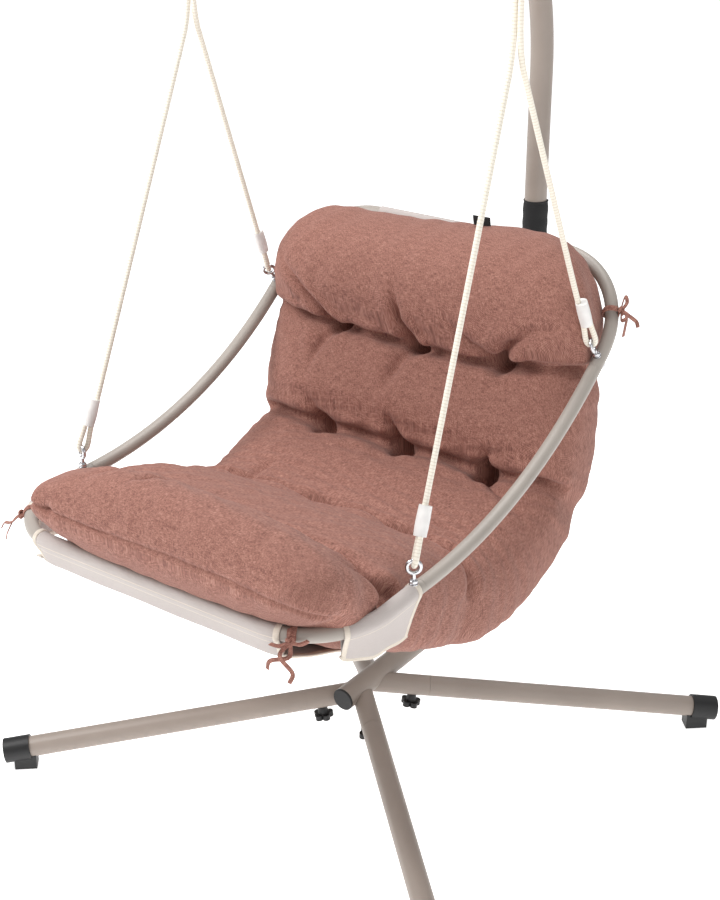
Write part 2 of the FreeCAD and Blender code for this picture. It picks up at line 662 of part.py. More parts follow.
def band(near, far, front, top, halfWidth, label):
    """Closed band between two offsets from the sling's line, extruded across the seat."""
    rims = []
    for offset in (near, far):
        seatUp = Vector(0, -seatDirection.z, seatDirection.y)
        backUp = Vector(0, -backDirection.z, backDirection.y)
        turn = math.acos(seatDirection.dot(backDirection))
        corner = slingCorner + (seatUp + backUp).normalize() * (offset / math.cos(turn / 2))
        first = slingStart + seatDirection * front + seatUp * offset
        last = slingEnd - backDirection * top + backUp * offset
        rims.append(cornered([first, corner, last], [float(slingBend) - offset]))
    lower, upper = rims
    a, b = lower.OrderedVertexes[0].Point, lower.OrderedVertexes[-1].Point
    c, d = upper.OrderedVertexes[0].Point, upper.OrderedVertexes[-1].Point
    edges = lower.OrderedEdges + [Part.LineSegment(b, d).toShape()] + upper.OrderedEdges
    edges.append(Part.LineSegment(c, a).toShape())
    outline = path(Part.Wire(Part.__sortEdges__(edges)))
    outline.Placement = Placement(Vector(-float(halfWidth), 0, 0), Rotation())
    solid = add("Part::Extrusion", label)
    solid.Base = outline
    solid.DirMode = "Custom"
    solid.Dir = xAxis
    bind(solid, LengthFwd=halfWidth * 2)
    solid.Solid = True
    return solid


thick = float(clothThick)
panel = band(-thick / 2, thick / 2, 0.0, 0.0, slingHalf, "SlingPanel")
sleeveOuter, sleeveInner = frameOd / 2 + weldGap + clothThick, frameOd / 2 + weldGap
barRoom = rod(sleeveOuter + 0.3, 2 * half, backBar - xAxis * half, xAxis)
finish(cut(cut(panel, sweep(path(backWire), frameOd / 2 + 1)), barRoom), "sling")

sleeveHalf = half - float(frontCorner) - 14
frontRing = straightTube(sleeveOuter * 2, clothThick, Size(2 * sleeveHalf, repr(2 * sleeveHalf)),
                         frontBar - xAxis * sleeveHalf, xAxis)
skirtTop = frontBar.z - float(sleeveInner) - 0.5
skirtHeight = skirtTop - (slingStart.z + 1.6)
skirt = block(Size(2 * sleeveHalf, repr(2 * sleeveHalf)), clothThick, skirtHeight,
              Placement(Vector(0, frontBar.y + 3, slingStart.z + 1.6), Rotation()))
finish(fuse(frontRing, skirt), "sling_front_sleeve")
backHalf = half - float(backCorner) - 8
finish(straightTube(sleeveOuter * 2, clothThick, Size(2 * backHalf, repr(2 * backHalf)), backBar - xAxis * backHalf,
                    xAxis), "sling_back_sleeve")

sleeveTurn = 26
for sideName, side in (("left", -1), ("right", 1)):
    shift = xAxis * (side * half)
    cornerCentre = frontBar + shift - xAxis * (side * float(frontCorner)) - frontDirection * float(frontCorner)
    turnFrom = math.radians(sleeveTurn)

    def onCorner(angle):
        reach = float(frontCorner)
        return cornerCentre + xAxis * (side * reach * math.cos(angle)) + frontDirection * (reach * math.sin(angle))

    arc = Part.Arc(onCorner(turnFrom), onCorner(turnFrom / 2), onCorner(0)).toShape()
    runEnd = bolts["front"][0] + shift + frontDirection * 11.0
    run = Part.LineSegment(onCorner(0), runEnd).toShape()
    spine = path(Part.Wire([arc, run]))
    tubeSleeve = cut(sweep(spine, sleeveOuter), sweep(spine, sleeveInner))
    panelFront, panelBack = onCorner(turnFrom / 2).y, runEnd.y - 4
    panelX = side * (half - 6)
    panelTop = frontBar.z - float(sleeveInner) + 0.6
    sidePanel = padded("SidePanel", [(panelFront, panelTop + 15), (panelBack, panelTop + 30),
                                     (panelBack - 4, panelTop - 62), (panelFront + 6, panelTop - 34)], clothThick,
                       Placement(Vector(panelX - float(clothThick) / 2, 0, 0),
                                 Rotation(xAxis, yAxis, zAxis, "ZXY").multiply(Rotation(Vector(1, 1, 1), 120))))
    finish(fuse(tubeSleeve, cut(sidePanel, sweep(spine, sleeveInner))), "sling_side_sleeve_" + sideName)

# ---- cushion -----------------------------------------------------------------------------------
rest = thick / 2 + float(weldGap)
padBand = band(rest, rest + float(cushionThick), 60.0, -42.0, cushionHalf, "PadBand")
rollCentre = frontBar + Vector(0, 43, 87)
roll = rod(rollRadius, cushionHalf * 2, rollCentre - xAxis * float(cushionHalf), xAxis)
frameRoom = sweep(path(backWire), frameOd / 2 + weldGap + tieThick + 2.6)
headRoom = rod(sleeveOuter + 0.3, 2 * half, backBar - xAxis * half, xAxis)
tubeRoom = sweep(path(frontWire), frameOd / 2 + weldGap + tieThick + 0.6)
cushion = cut(cut(cut(fuse(padBand, roll), frameRoom), headRoom), tubeRoom)
finish(cushion, "cushion")

# ---- fabric ties -------------------------------------------------------------------------------
frontTieAngles = {"left": math.radians(38), "right": math.radians(67)}
backTie = (backBar + backJoint) * 0.5


def tie(label, centre, along, outward, tails):
    """Strap round a frame tube with a knot beside it and hanging tails."""
    strapBase = centre - along * (float(tieWidth) / 2)
    inner = frameOd / 2 + weldGap
    loop = cut(rod(inner + tieThick, tieWidth, strapBase, along), rod(inner, tieWidth, strapBase, along))
    knotCentre = centre + outward * (float(inner) + float(tieThick) + 4)
    knot = bind(add("Part::Sphere", "Knot"), Radius=tieWidth * 0.72)
    knot.Placement = Placement(knotCentre, Rotation())
    pieces = [loop, knot]
    for tail in tails:
        pull = Vector(*tail)
        pieces.append(rod(tieThick * 0.9, pull.Length, knotCentre, pull))
    finish(fuse(*pieces), label)


for side, sideName in ((-1, "left"), (1, "right")):
    shift = xAxis * (side * half)
    cornerCentre = frontBar + shift - xAxis * (side * float(frontCorner)) - frontDirection * float(frontCorner)
    reach = float(frontCorner)
    angle = frontTieAngles[sideName]
    ray = xAxis * (side * math.cos(angle)) + frontDirection * math.sin(angle)
    along = (xAxis * (side * -math.sin(angle)) + frontDirection * math.cos(angle)).normalize()
    outward = (ray + Vector(0, 0, 0.1)).normalize()
    tails = [(side * 26, -4, -42), (side * 4, -8, -48)]
    tie("tie_front_" + sideName, cornerCentre + ray * reach, along, outward, tails)

for side, sideName in ((-1, "left"), (1, "right")):
    cornerCentre = backBar + xAxis * (side * (half - float(backCorner))) - rearDirection * float(backCorner)
    angle = math.radians(22)
    ray = xAxis * (side * math.cos(angle)) + rearDirection * math.sin(angle)
    along = (xAxis * (side * -math.sin(angle)) + rearDirection * math.cos(angle)).normalize()
    tails = [(side * 14, 6, -50), (side * 32, 4, -34)]
    tie("tie_back_" + sideName, cornerCentre + ray * float(backCorner), along, ray, tails)

# ---- check and export ---------------------------------------------------------------------------
doc.recompute()
for obj in doc.Objects:
    if "Invalid" in obj.State or "Error" in obj.State:
        raise RuntimeError("%s (%s) is %s" % (obj.Name, obj.Label, obj.State))
for obj in nodes:
    if obj.Shape.isNull() or not obj.Shape.isValid():
        raise RuntimeError("%s has no valid shape" % obj.Label)
    if min(solid.Volume for solid in obj.Shape.Solids) <= 0:
        raise RuntimeError("%s has a solid turned inside out" % obj.Label)
for sideName, (rope, length) in ropeLengths.items():
    expected = math.pi * ropeRadius ** 2 * length
    error = rope.Shape.Volume / expected - 1
    print("rope_%s length %.0f mm, volume off by %.2f %%" % (sideName, length, 100 * error))
    if abs(error) > 0.02:
        raise RuntimeError("the rope's solid doesn't fill its route")

os.makedirs("parts", exist_ok=True)
for obj in nodes:
    obj.Shape.exportStep(os.path.join("parts", obj.Label + ".step"))
box = FreeCAD.BoundBox()
for obj in nodes:
    if not obj.Label.startswith("rope_"):
        box.add(obj.Shape.BoundBox)
print("footprint y %.1f to %.1f, x %.1f to %.1f, height %.1f to %.1f" % (box.YMin, box.YMax, box.XMin, box.XMax,
                                                                      box.ZMin, box.ZMax))
print("%d nodes" % len(nodes))
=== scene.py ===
import json
import math
import bmesh
import bpy
import numpy as np
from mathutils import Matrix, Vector


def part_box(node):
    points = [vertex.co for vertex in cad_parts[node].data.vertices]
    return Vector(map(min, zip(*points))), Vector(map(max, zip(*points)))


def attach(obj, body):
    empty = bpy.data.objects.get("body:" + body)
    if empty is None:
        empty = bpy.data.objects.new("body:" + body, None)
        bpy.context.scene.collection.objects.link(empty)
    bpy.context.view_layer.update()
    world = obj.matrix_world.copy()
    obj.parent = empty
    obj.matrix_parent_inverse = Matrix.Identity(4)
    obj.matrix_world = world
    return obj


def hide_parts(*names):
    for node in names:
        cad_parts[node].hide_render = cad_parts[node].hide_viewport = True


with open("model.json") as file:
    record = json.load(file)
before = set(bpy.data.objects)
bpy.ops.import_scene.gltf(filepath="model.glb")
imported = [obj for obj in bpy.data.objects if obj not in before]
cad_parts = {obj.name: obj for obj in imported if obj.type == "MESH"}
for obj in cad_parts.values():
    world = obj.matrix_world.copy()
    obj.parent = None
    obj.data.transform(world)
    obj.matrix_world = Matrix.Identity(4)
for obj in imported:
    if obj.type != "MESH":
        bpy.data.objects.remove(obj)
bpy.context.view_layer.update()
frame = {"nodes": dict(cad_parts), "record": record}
print("frame loaded,", len(frame["nodes"]), "nodes")


# a wrapped socket does its own arithmetic: each operator adds one Math node
class Wire:
    def __init__(self, tree, socket):
        self.tree, self.socket = tree, socket

    def math(self, operation, other=None):
        node = self.tree.nodes.new("ShaderNodeMath")
        node.operation = operation
        for slot, value in enumerate((self, other)):
            if isinstance(value, Wire):
                self.tree.links.new(value.socket, node.inputs[slot])
            elif value is not None:
                node.inputs[slot].default_value = value
        return Wire(self.tree, node.outputs[0])

    def flipped(self, operation, first):
        node = self.tree.nodes.new("ShaderNodeMath")
        node.operation = operation
        node.inputs[0].default_value = first
        self.tree.links.new(self.socket, node.inputs[1])
        return Wire(self.tree, node.outputs[0])

    def __add__(self, other): return self.math("ADD", other)
    def __radd__(self, other): return self.math("ADD", other)
    def __sub__(self, other): return self.math("SUBTRACT", other)
    def __rsub__(self, other): return self.flipped("SUBTRACT", other)
    def __mul__(self, other): return self.math("MULTIPLY", other)
    def __rmul__(self, other): return self.math("MULTIPLY", other)
    def __truediv__(self, other): return self.math("DIVIDE", other)
    def sine(self): return self.math("SINE")
    def size(self): return self.math("ABSOLUTE")
    def above(self, other): return self.math("GREATER_THAN", other)


class Finish:
    def __init__(self, name, **fixed):
        self.material = bpy.data.materials.new(name)
        self.material.use_nodes = True
        self.tree = self.material.node_tree
        self.shader = self.tree.nodes["Principled BSDF"]
        for socket, value in fixed.items():
            self.shader.inputs[socket.replace("_", " ")].default_value = value

    # any node: its type, its settings, then the values or links of its sockets
    def node(self, kind, settings=None, out=0, inputs=None):
        made = self.tree.nodes.new("ShaderNode" + kind)
        for key, value in (settings or {}).items():
            if key == "stops":
                ramp = made.color_ramp
                while len(ramp.elements) < len(value):
                    ramp.elements.new(0.5)
                for element, (place, colour) in zip(ramp.elements, value):
                    element.position, element.color = place, (*colour, 1)
            else:
                setattr(made, key, value)
        for key, value in (inputs or {}).items():
            socket = made.inputs[key]
            if isinstance(value, Wire):
                self.tree.links.new(value.socket, socket)
            else:
                socket.default_value = value
        return Wire(self.tree, made.outputs[out])

    def place(self, kind="Object"):
        return self.node("TexCoord", out=kind)

    def parts(self, vector):
        split = self.tree.nodes.new("ShaderNodeSeparateXYZ")
        self.tree.links.new(vector.socket, split.inputs[0])
        return [Wire(self.tree, split.outputs[k]) for k in range(3)]

    def join(self, x, y, z=0.0):
        return self.node("CombineXYZ", inputs={0: x, 1: y, 2: z})

    def noise(self, vector, scale, detail=2.0, rough=0.5):
        return self.node("TexNoise", inputs={"Vector": vector, "Scale": scale, "Detail": detail,
                                             "Roughness": rough})

    def ramp(self, factor, *stops):
        return self.node("ValToRGB", {"stops": stops}, inputs={"Fac": factor})

    def feed(self, **sockets):
        for socket, wire in sockets.items():
            self.tree.links.new(wire.socket, self.shader.inputs[socket.replace("_", " ")])

    def bump(self, height, depth, strength=1.0):
        normal = self.node("Bump", inputs={"Height": height, "Distance": depth, "Strength": strength})
        self.feed(Normal=normal)
        return self.material


# the numbers of the plain finishes: noise scales per metre, bump depths in metres
paintLook = {"standShade": (0.315, 0.264, 0.228), "frameShade": (0.375, 0.336, 0.300), "cloud": 9.0,
             "grain": 1500.0, "grainDepth": 0.00012}
mouldLook = {"cloud": 30.0, "grain": 2400.0, "grainDepth": 0.00008}
zincLook = {"smudge": 140.0, "lines": 900.0, "lineDepth": 0.00002, "dark": (0.50, 0.50, 0.52),
            "light": (0.74, 0.74, 0.76)}
braidLook = {"fuzz": 900.0, "depth": 0.0003, "strength": 0.6}


# powder coat: one colour with faint cloudy variation, fine orange-peel grain in the bump
def powderCoat(name, shade, rough):
    look = Finish(name, Roughness=rough, Metallic=0.0)
    where = look.place()
    cloud = look.noise(where, paintLook["cloud"], 3.0)
    speck = look.noise(where, paintLook["grain"], 1.0)
    dark, light = [c * 0.93 for c in shade], [min(1, c * 1.06) for c in shade]
    look.feed(Base_Color=look.ramp(cloud * 0.7 + speck * 0.3, (0.35, dark), (0.65, light)))
    look.feed(Roughness=speck * 0.14 + (rough - 0.07))
    return look.bump(speck, paintLook["grainDepth"])


# moulded plastic: near-uniform colour, fine matt texture
def moulded(name, shade, rough):
    look = Finish(name, Roughness=rough)
    where = look.place()
    speck = look.noise(where, mouldLook["grain"], 2.0)
    dark, light = [c * 0.85 for c in shade], [c * 1.1 for c in shade]
    look.feed(Base_Color=look.ramp(look.noise(where, mouldLook["cloud"]), (0.3, dark), (0.7, light)))
    look.feed(Roughness=speck * 0.16 + (rough - 0.08))
    return look.bump(speck, mouldLook["grainDepth"])


# bright zinc: metal with soft smudges in the roughness and fine turned lines
def zincPlate(name):
    look = Finish(name, Metallic=1.0)
    where = look.place()
    smudge = look.noise(where, zincLook["smudge"], 3.0)
    look.feed(Base_Color=look.ramp(smudge, (0.3, zincLook["dark"]), (0.7, zincLook["light"])))
    look.feed(Roughness=smudge * 0.22 + 0.13)
    return look.bump(look.noise(where, zincLook["lines"]), zincLook["lineDepth"])


# braided cord, UV in metres: two families of slanting strands that pass over and under one another
def braid(name, light, dark, around, turn):
    look = Finish(name, Roughness=0.85, Sheen_Weight=0.25)
    u, v, _ = look.parts(look.place("UV"))
    one = u * around + v * (1 / turn)
    two = u * around - v * (1 / turn)
    first = (one * math.pi).sine().size()
    second = (two * math.pi).sine().size()
    over = ((one + two) * (math.pi / 2)).sine().above(0.0)
    rope = over * first + (1 - over) * second
    fuzz = look.noise(look.join(u * 0.08, v, 0.0), braidLook["fuzz"], 2.0)
    look.feed(Base_Color=look.ramp(rope * 0.75 + fuzz * 0.25, (0.12, dark), (0.62, light)))
    return look.bump(rope + fuzz * 0.3, braidLook["depth"], braidLook["strength"])


# plain oxford weave, UV in metres: square over-and-under threads, slubs and soft wear
def oxford(name, light, dark, pitch, rough=0.8, sheen=0.15, depth=0.00025):
    look = Finish(name, Roughness=rough, Sheen_Weight=sheen)
    u, v, _ = look.parts(look.place("UV"))
    warp, weft = u * (math.pi / pitch), v * (math.pi / pitch)
    over = (warp.sine() * weft.sine()).above(0.0)
    threads = over * warp.sine().size() + (1 - over) * weft.sine().size()
    slub = look.noise(look.join(u, v * 8), 90.0, 3.0)
    cloud = look.noise(look.join(u, v), 7.0, 3.0)
    tone = threads * 0.3 + slub * 0.35 + cloud * 0.35
    look.feed(Base_Color=look.ramp(tone, (0.25, dark), (0.68, light)))
    return look.bump(threads + slub * 0.5, depth)


linenLook = {"pitch": 0.0015, "slub": 0.0085, "pale": (0.47, 0.245, 0.19), "mid": (0.29, 0.125, 0.094),
             "deep": (0.125, 0.047, 0.036), "depth": 0.0004}


# heathered linen, UV in metres: streaky threads both ways, each with its own tone, and a slubby surface
def linen(name):
    look = Finish(name, Roughness=0.92, Sheen_Weight=0.06, Sheen_Roughness=0.5)
    u, v, _ = look.parts(look.place("UV"))
    pitch = linenLook["pitch"]
    across = look.noise(look.join(u / linenLook["slub"], v / pitch), 1.0, 1.5, 0.6)
    along = look.noise(look.join(u / pitch, v / linenLook["slub"], 7.0), 1.0, 1.5, 0.6)
    over = ((u * (math.pi / pitch)).sine() * (v * (math.pi / pitch)).sine()) * 0.5 + 0.5
    mottle = look.noise(look.join(u, v, 3.0), 60.0, 2.0)
    tone = across * 0.42 + along * 0.42 + over * 0.16
    colour = look.ramp(tone * 0.86 + mottle * 0.14, (0.36, linenLook["deep"]), (0.5, linenLook["mid"]),
                       (0.64, linenLook["pale"]))
    look.feed(Base_Color=colour)
    return look.bump(across + along + over * 0.6, linenLook["depth"], 0.9)


finishes = {
    "stand_paint": powderCoat("taupePowderCoat", paintLook["standShade"], 0.42),
    "frame_paint": powderCoat("warmGreyPowderCoat", paintLook["frameShade"], 0.40),
    "black_plastic": moulded("blackMoulding", (0.007, 0.007, 0.0075), 0.5),
    "grey_plastic": moulded("greyMoulding", (0.30, 0.27, 0.245), 0.5),
    "zinc_steel": zincPlate("brightZinc"),
    "rope_cord": braid("creamBraid", (0.84, 0.79, 0.69), (0.68, 0.61, 0.50), 8.0, 0.0055),
    "white_sleeve": moulded("whiteSleeve", (0.80, 0.78, 0.76), 0.36),
    "black_fabric": oxford("blackWrap", (0.013, 0.013, 0.014), (0.004, 0.004, 0.005), 0.0016, 0.8, 0.0),
    "sling_fabric": oxford("paleOxford", (0.56, 0.505, 0.48), (0.44, 0.39, 0.37), 0.0011, 0.78, 0.12,
                           0.00018),
    "tape": oxford("creamTape", (0.80, 0.72, 0.62), (0.62, 0.54, 0.45), 0.0013, 0.85, 0.2),
    "rose_linen": linen("roseLinen"),
}
for part in frame["record"]["subparts"]:
    node = frame["nodes"][part["node"]]
    if part["material_slot"] in finishes:
        node.data.materials.clear()
        node.data.materials.append(finishes[part["material_slot"]])
print("finishes made")


# a grid of points (rows, columns, 3) becomes quads; the columns may close into a ring; UV in metres
def gridPiece(name, points, uv=None, closeColumns=False):
    rows, columns = points.shape[:2]
    r = np.arange(rows - 1)
    c = np.arange(columns if closeColumns else columns - 1)
    rr, cc = np.meshgrid(r, c, indexing="ij")
    nextRow, nextColumn = rr + 1, (cc + 1) % columns
    quads = np.stack([rr * columns + cc, rr * columns + nextColumn, nextRow * columns + nextColumn,
                      nextRow * columns + cc], -1).reshape(-1, 4)
    mesh = bpy.data.meshes.new(name)
    mesh.from_pydata(points.reshape(-1, 3).tolist(), [], quads.tolist())
    if uv is not None:
        corners = np.stack([np.stack([rr, rr, rr + 1, rr + 1], -1),
                            np.stack([cc, cc + 1, cc + 1, cc], -1)], -1)
        corners = corners.reshape(-1, 4, 2)
        u, v = uv
        layer = mesh.uv_layers.new(name="UVMap")
        flat = np.stack([np.asarray(u)[corners[..., 0], corners[..., 1]],
                         np.asarray(v)[corners[..., 0], corners[..., 1]]], -1)
        layer.data.foreach_set("uv", flat.reshape(-1).astype(np.float32))
    mesh.shade_smooth()
    piece = bpy.data.objects.new(name, mesh)
    bpy.context.scene.collection.objects.link(piece)
    return piece


# gives a piece the finish of its slot and the body it rides on, and hides the nodes it stands for
def dress(piece, slot, body, *nodes):
    piece.data.materials.clear()
    piece.data.materials.append(finishes[slot])
    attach(piece, body)
    if nodes:
        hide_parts(*nodes)
    return piece


def unit(vectors):
    return vectors / np.maximum(np.linalg.norm(vectors, axis=-1, keepdims=True), 1e-12)


# a smooth line through the given points: each stretch is a cubic whose slopes join its neighbours'
def smoothLine(points, steps):
    p = np.asarray(points, float)
    slope = np.gradient(p, axis=0)
    t = np.linspace(0, len(p) - 1, steps)
    k = np.minimum(t.astype(int), len(p) - 2)
    w = (t - k)[:, None]
    return ((2 * w**3 - 3 * w**2 + 1) * p[k] + (w**3 - 2 * w**2 + w) * slope[k]
            + (3 * w**2 - 2 * w**3) * p[k + 1] + (w**3 - w**2) * slope[k + 1])


# directions beside a line: each is the last one turned as little as the line's own turn needs
def carried(line, start):
    tangent = unit(np.gradient(line, axis=0))
    side = np.zeros_like(line)
    side[0] = start
    for k in range(1, len(line)):
        side[k] = side[k - 1] - tangent[k] * side[k - 1].dot(tangent[k])
        side[k] /= np.linalg.norm(side[k])
    side[0] = unit(side[0] - tangent[0] * side[0].dot(tangent[0]))
    return tangent, side, np.cross(tangent, side)


# a closed tube or strap: an ellipse of the given half width and half thickness carried along a line
def strap(name, line, half, thick, start, sides=12, power=1.0):
    tangent, side, up = carried(line, np.asarray(start, float))
    angle = np.linspace(0, 2 * math.pi, sides, endpoint=False)
    c, s = np.cos(angle), np.sin(angle)
    c, s = np.sign(c) * np.abs(c) ** power, np.sign(s) * np.abs(s) ** power
    half = np.broadcast_to(half, len(line))[:, None, None]
    thick = np.broadcast_to(thick, len(line))[:, None, None]
    ring = (line[:, None] + side[:, None] * c[None, :, None] * half
            + up[:, None] * s[None, :, None] * thick)
    ends = [np.repeat(line[:1], sides, 0)[None], np.repeat(line[-1:], sides, 0)[None]]
    ring = np.concatenate([ends[0], ring, ends[1]])
    run = np.concatenate([[0], np.cumsum(np.linalg.norm(np.diff(line, axis=0), axis=1))])
    run = np.concatenate([run[:1], run, run[-1:]])
    u = np.repeat((np.arange(sides + 1) / sides)[None], len(ring), 0) * float(np.mean(half)) * 4
    v = np.repeat(run[:, None], sides + 1, 1)
    piece = gridPiece(name, ring, (u, v), closeColumns=True)
    tidyEnds(piece)
    return piece


# joins the doubled points at closed ends and turns every face outwards
def tidyEnds(piece):
    work = bmesh.new()
    work.from_mesh(piece.data)
    bmesh.ops.remove_doubles(work, verts=work.verts, dist=1e-6)
    bmesh.ops.dissolve_degenerate(work, edges=work.edges, dist=1e-7)
    bmesh.ops.recalc_face_normals(work, faces=work.faces)
    work.to_mesh(piece.data)
    work.free()
    piece.data.shade_smooth()


# the camera: its place in metres, its angles in degrees, its lens in millimetres
view = {"eye": (1.6622, -2.2120, 1.8838), "azimuth": 37.12, "elevation": 24.23, "lens": 80.0, "lift": 0.0179}
camera = bpy.data.cameras.new("camera")
camera.sensor_fit, camera.sensor_width = "HORIZONTAL", 36.0
camera.lens, camera.shift_y = view["lens"], view["lift"]
eye = bpy.data.objects.new("camera", camera)
eye.location = view["eye"]
eye.rotation_euler = (math.radians(90 - view["elevation"]), 0, math.radians(view["azimuth"]))
bpy.context.scene.collection.objects.link(eye)
bpy.context.scene.camera = eye


# a square lamp at place, turned to face target
def softLight(name, place, target, size, power):
    lamp = bpy.data.lights.new(name, "AREA")
    lamp.shape, lamp.size, lamp.energy = "SQUARE", size, power
    holder = bpy.data.objects.new(name, lamp)
    holder.location = place
    holder.rotation_euler = (Vector(target) - Vector(place)).to_track_quat("-Z", "Y").to_euler()
    bpy.context.scene.collection.objects.link(holder)


studio = {"world": 0.42, "floorHalf": 30.0, "floorGlow": 0.78, "floorDark": (0.90, 0.90, 0.90),
          "floorLight": (0.92, 0.92, 0.92)}
softLight("key", (-1.8, -2.0, 3.4), (0, 0, 0.7), 1.6, 110)
softLight("fill", (3.2, -1.4, 1.8), (0, 0, 0.7), 2.4, 26)
softLight("top", (-0.4, 1.0, 4.0), (0, 0, 0.6), 2.0, 70)
world = bpy.data.worlds.new("studio")
world.use_nodes = True
world.node_tree.nodes["Background"].inputs[0].default_value = (1, 1, 1, 1)
world.node_tree.nodes["Background"].inputs[1].default_value = studio["world"]
bpy.context.scene.world = world
bpy.context.scene.view_settings.view_transform = "Standard"
floorHalf = studio["floorHalf"]
floorPoints = np.array([[[-floorHalf, -floorHalf, 0], [floorHalf, -floorHalf, 0]],
                        [[-floorHalf, floorHalf, 0], [floorHalf, floorHalf, 0]]])
floor = gridPiece("floor", floorPoints)
floorLook = Finish("paleFloor", Roughness=0.9, Emission_Strength=studio["floorGlow"],
                   Emission_Color=(1, 1, 1, 1))
floorTone = floorLook.noise(floorLook.place(), 3.0)
floorLook.feed(Base_Color=floorLook.ramp(floorTone, (0.3, studio["floorDark"]), (0.7, studio["floorLight"])))
floor.data.materials.append(floorLook.material)
print("camera, light and floor")

# the ropes: thickness and step in metres, and the points that steer each route
ropeLook = {"thick": 0.010, "sides": 14, "step": 0.004}
ropeRoutes = {
    "left": [(-0.3737, -0.3431, 0.772), (-0.375, -0.3558, 0.7405), (-0.3786, -0.3782, 0.6979),
             (-0.3713, -0.3604, 0.6904), (-0.3713, -0.3467, 0.7367), (-0.3694, -0.3279, 0.783),
             (-0.3671, -0.3048, 0.8412), (-0.3473, -0.0949, 1.3697), (-0.3446, -0.0642, 1.447),
             (-0.3446, -0.0642, 1.57), (-0.3446, -0.0822, 1.632), (-0.3446, -0.0822, 1.658),
             (-0.334, -0.0462, 1.658), (-0.334, -0.0462, 1.632), (-0.334, -0.0642, 1.57),
             (-0.334, -0.0642, 1.447), (-0.3386, -0.0352, 1.3794), (-0.3606, 0.1037, 1.0551),
             (-0.3646, 0.129, 0.9961), (-0.3681, 0.149, 0.9504), (-0.3681, 0.1648, 0.9048),
             (-0.3817, 0.1787, 0.9119), (-0.375, 0.1561, 0.954), (-0.3727, 0.1425, 0.9851)],
    "right": [(0.3743, -0.3421, 0.7717), (0.376, -0.3549, 0.7402), (0.3817, -0.3763, 0.6974),
              (0.3681, -0.3622, 0.6909), (0.369, -0.3477, 0.7369), (0.3665, -0.3289, 0.7832),
              (0.3637, -0.3059, 0.8408), (0.3377, -0.0949, 1.3697), (0.334, -0.0642, 1.447),
              (0.334, -0.0642, 1.57), (0.334, -0.0822, 1.632), (0.334, -0.0822, 1.658),
              (0.3446, -0.0462, 1.658), (0.3446, -0.0462, 1.632), (0.3446, -0.0642, 1.57),
              (0.3446, -0.0642, 1.447), (0.3477, -0.0352, 1.3794), (0.3624, 0.1037, 1.0555),
              (0.3652, 0.1302, 0.9967), (0.3678, 0.1502, 0.951), (0.3659, 0.1673, 0.9059),
              (0.3839, 0.1762, 0.9108), (0.377, 0.1548, 0.9535), (0.3753, 0.1412, 0.9846)],
}


# the smooth spline that the route's points steer, as a row of points
def splineLine(name, route):
    data = bpy.data.curves.new(name, "CURVE")
    data.dimensions = "3D"
    spline = data.splines.new("NURBS")
    spline.points.add(len(route) - 1)
    spline.points.foreach_set("co", np.hstack([np.array(route), np.ones((len(route), 1))]).reshape(-1))
    spline.order_u, spline.use_endpoint_u, spline.resolution_u = 3, True, 24
    holder = bpy.data.objects.new(name, data)
    mesh = bpy.data.meshes.new_from_object(holder)
    line = np.zeros(len(mesh.vertices) * 3)
    mesh.vertices.foreach_get("co", line)
    bpy.data.objects.remove(holder)
    return line.reshape(-1, 3)


# evenly spaced points along a line, by length
def evenly(line, step):
    run = np.concatenate([[0], np.cumsum(np.linalg.norm(np.diff(line, axis=0), axis=1))])
    at = np.linspace(0, run[-1], max(8, int(run[-1] / step)))
    return np.stack([np.interp(at, run, line[:, k]) for k in range(3)], -1), run[-1]


for side, route in ropeRoutes.items():
    line, length = evenly(splineLine("ropeLine", route), ropeLook["step"])
    half = ropeLook["thick"] / 2
    rope = strap("rope_" + side + "_braid", line, half, half, (1.0, 0.1, 0.0), ropeLook["sides"])
    dress(rope, "rope_cord", "chair", "rope_" + side)
    print("rope", side, round(float(length), 3))

# the line that the seat follows: a straight fall, a round bend and a steep back
seatLine = {"front": (-0.5766, 0.592), "fall": 22.0, "rise": 85.5, "seatRun": 0.907, "bend": 0.351}
fall, rise = math.radians(seatLine["fall"]), math.radians(seatLine["rise"])
turnAngle, bend = fall + rise, seatLine["bend"]
bendStart = seatLine["seatRun"] - bend * math.tan(turnAngle / 2)
bendEnd = bendStart + bend * turnAngle
bendFoot = np.array(seatLine["front"]) + bendStart * np.array([math.cos(fall), -math.sin(fall)])
bendCentre = bendFoot + bend * np.array([math.sin(fall), math.cos(fall)])


# a place on the seat: s metres along the line and h metres above it gives y and z
def seatPoint(s, h):
    turned = np.clip((s - bendStart) / bend, 0, turnAngle)
    heading = turned - fall
    beyond = s - bendStart - turned * bend
    away = np.stack([np.sin(heading), -np.cos(heading)], -1)
    along = np.stack([np.cos(heading), np.sin(heading)], -1)
    return bendCentre + away * (bend - h)[..., None] + along * beyond[..., None]


# the same backwards: y and z give s and h
def seatPlace(y, z):
    d = np.stack([y, z], -1) - bendCentre
    heading = np.clip(np.arctan2(d[..., 0], -d[..., 1]), -fall, rise)
    away = np.stack([np.sin(heading), -np.cos(heading)], -1)
    along = np.stack([np.cos(heading), np.sin(heading)], -1)
    return bendStart + (heading + fall) * bend + (d * along).sum(-1), bend - (d * away).sum(-1)


# from 0 at low to 1 at high, level at both: three t squared less two t cubed
def smoothStep(x, low, high):
    t = np.clip((x - low) / (high - low), 0, 1)
    return t * t * (3 - 2 * t)


# a bell of height 1 about centre: e to the minus of the distance in widths, squared
def hump(x, centre, width):
    return np.exp(-((x - centre) / width) ** 2)


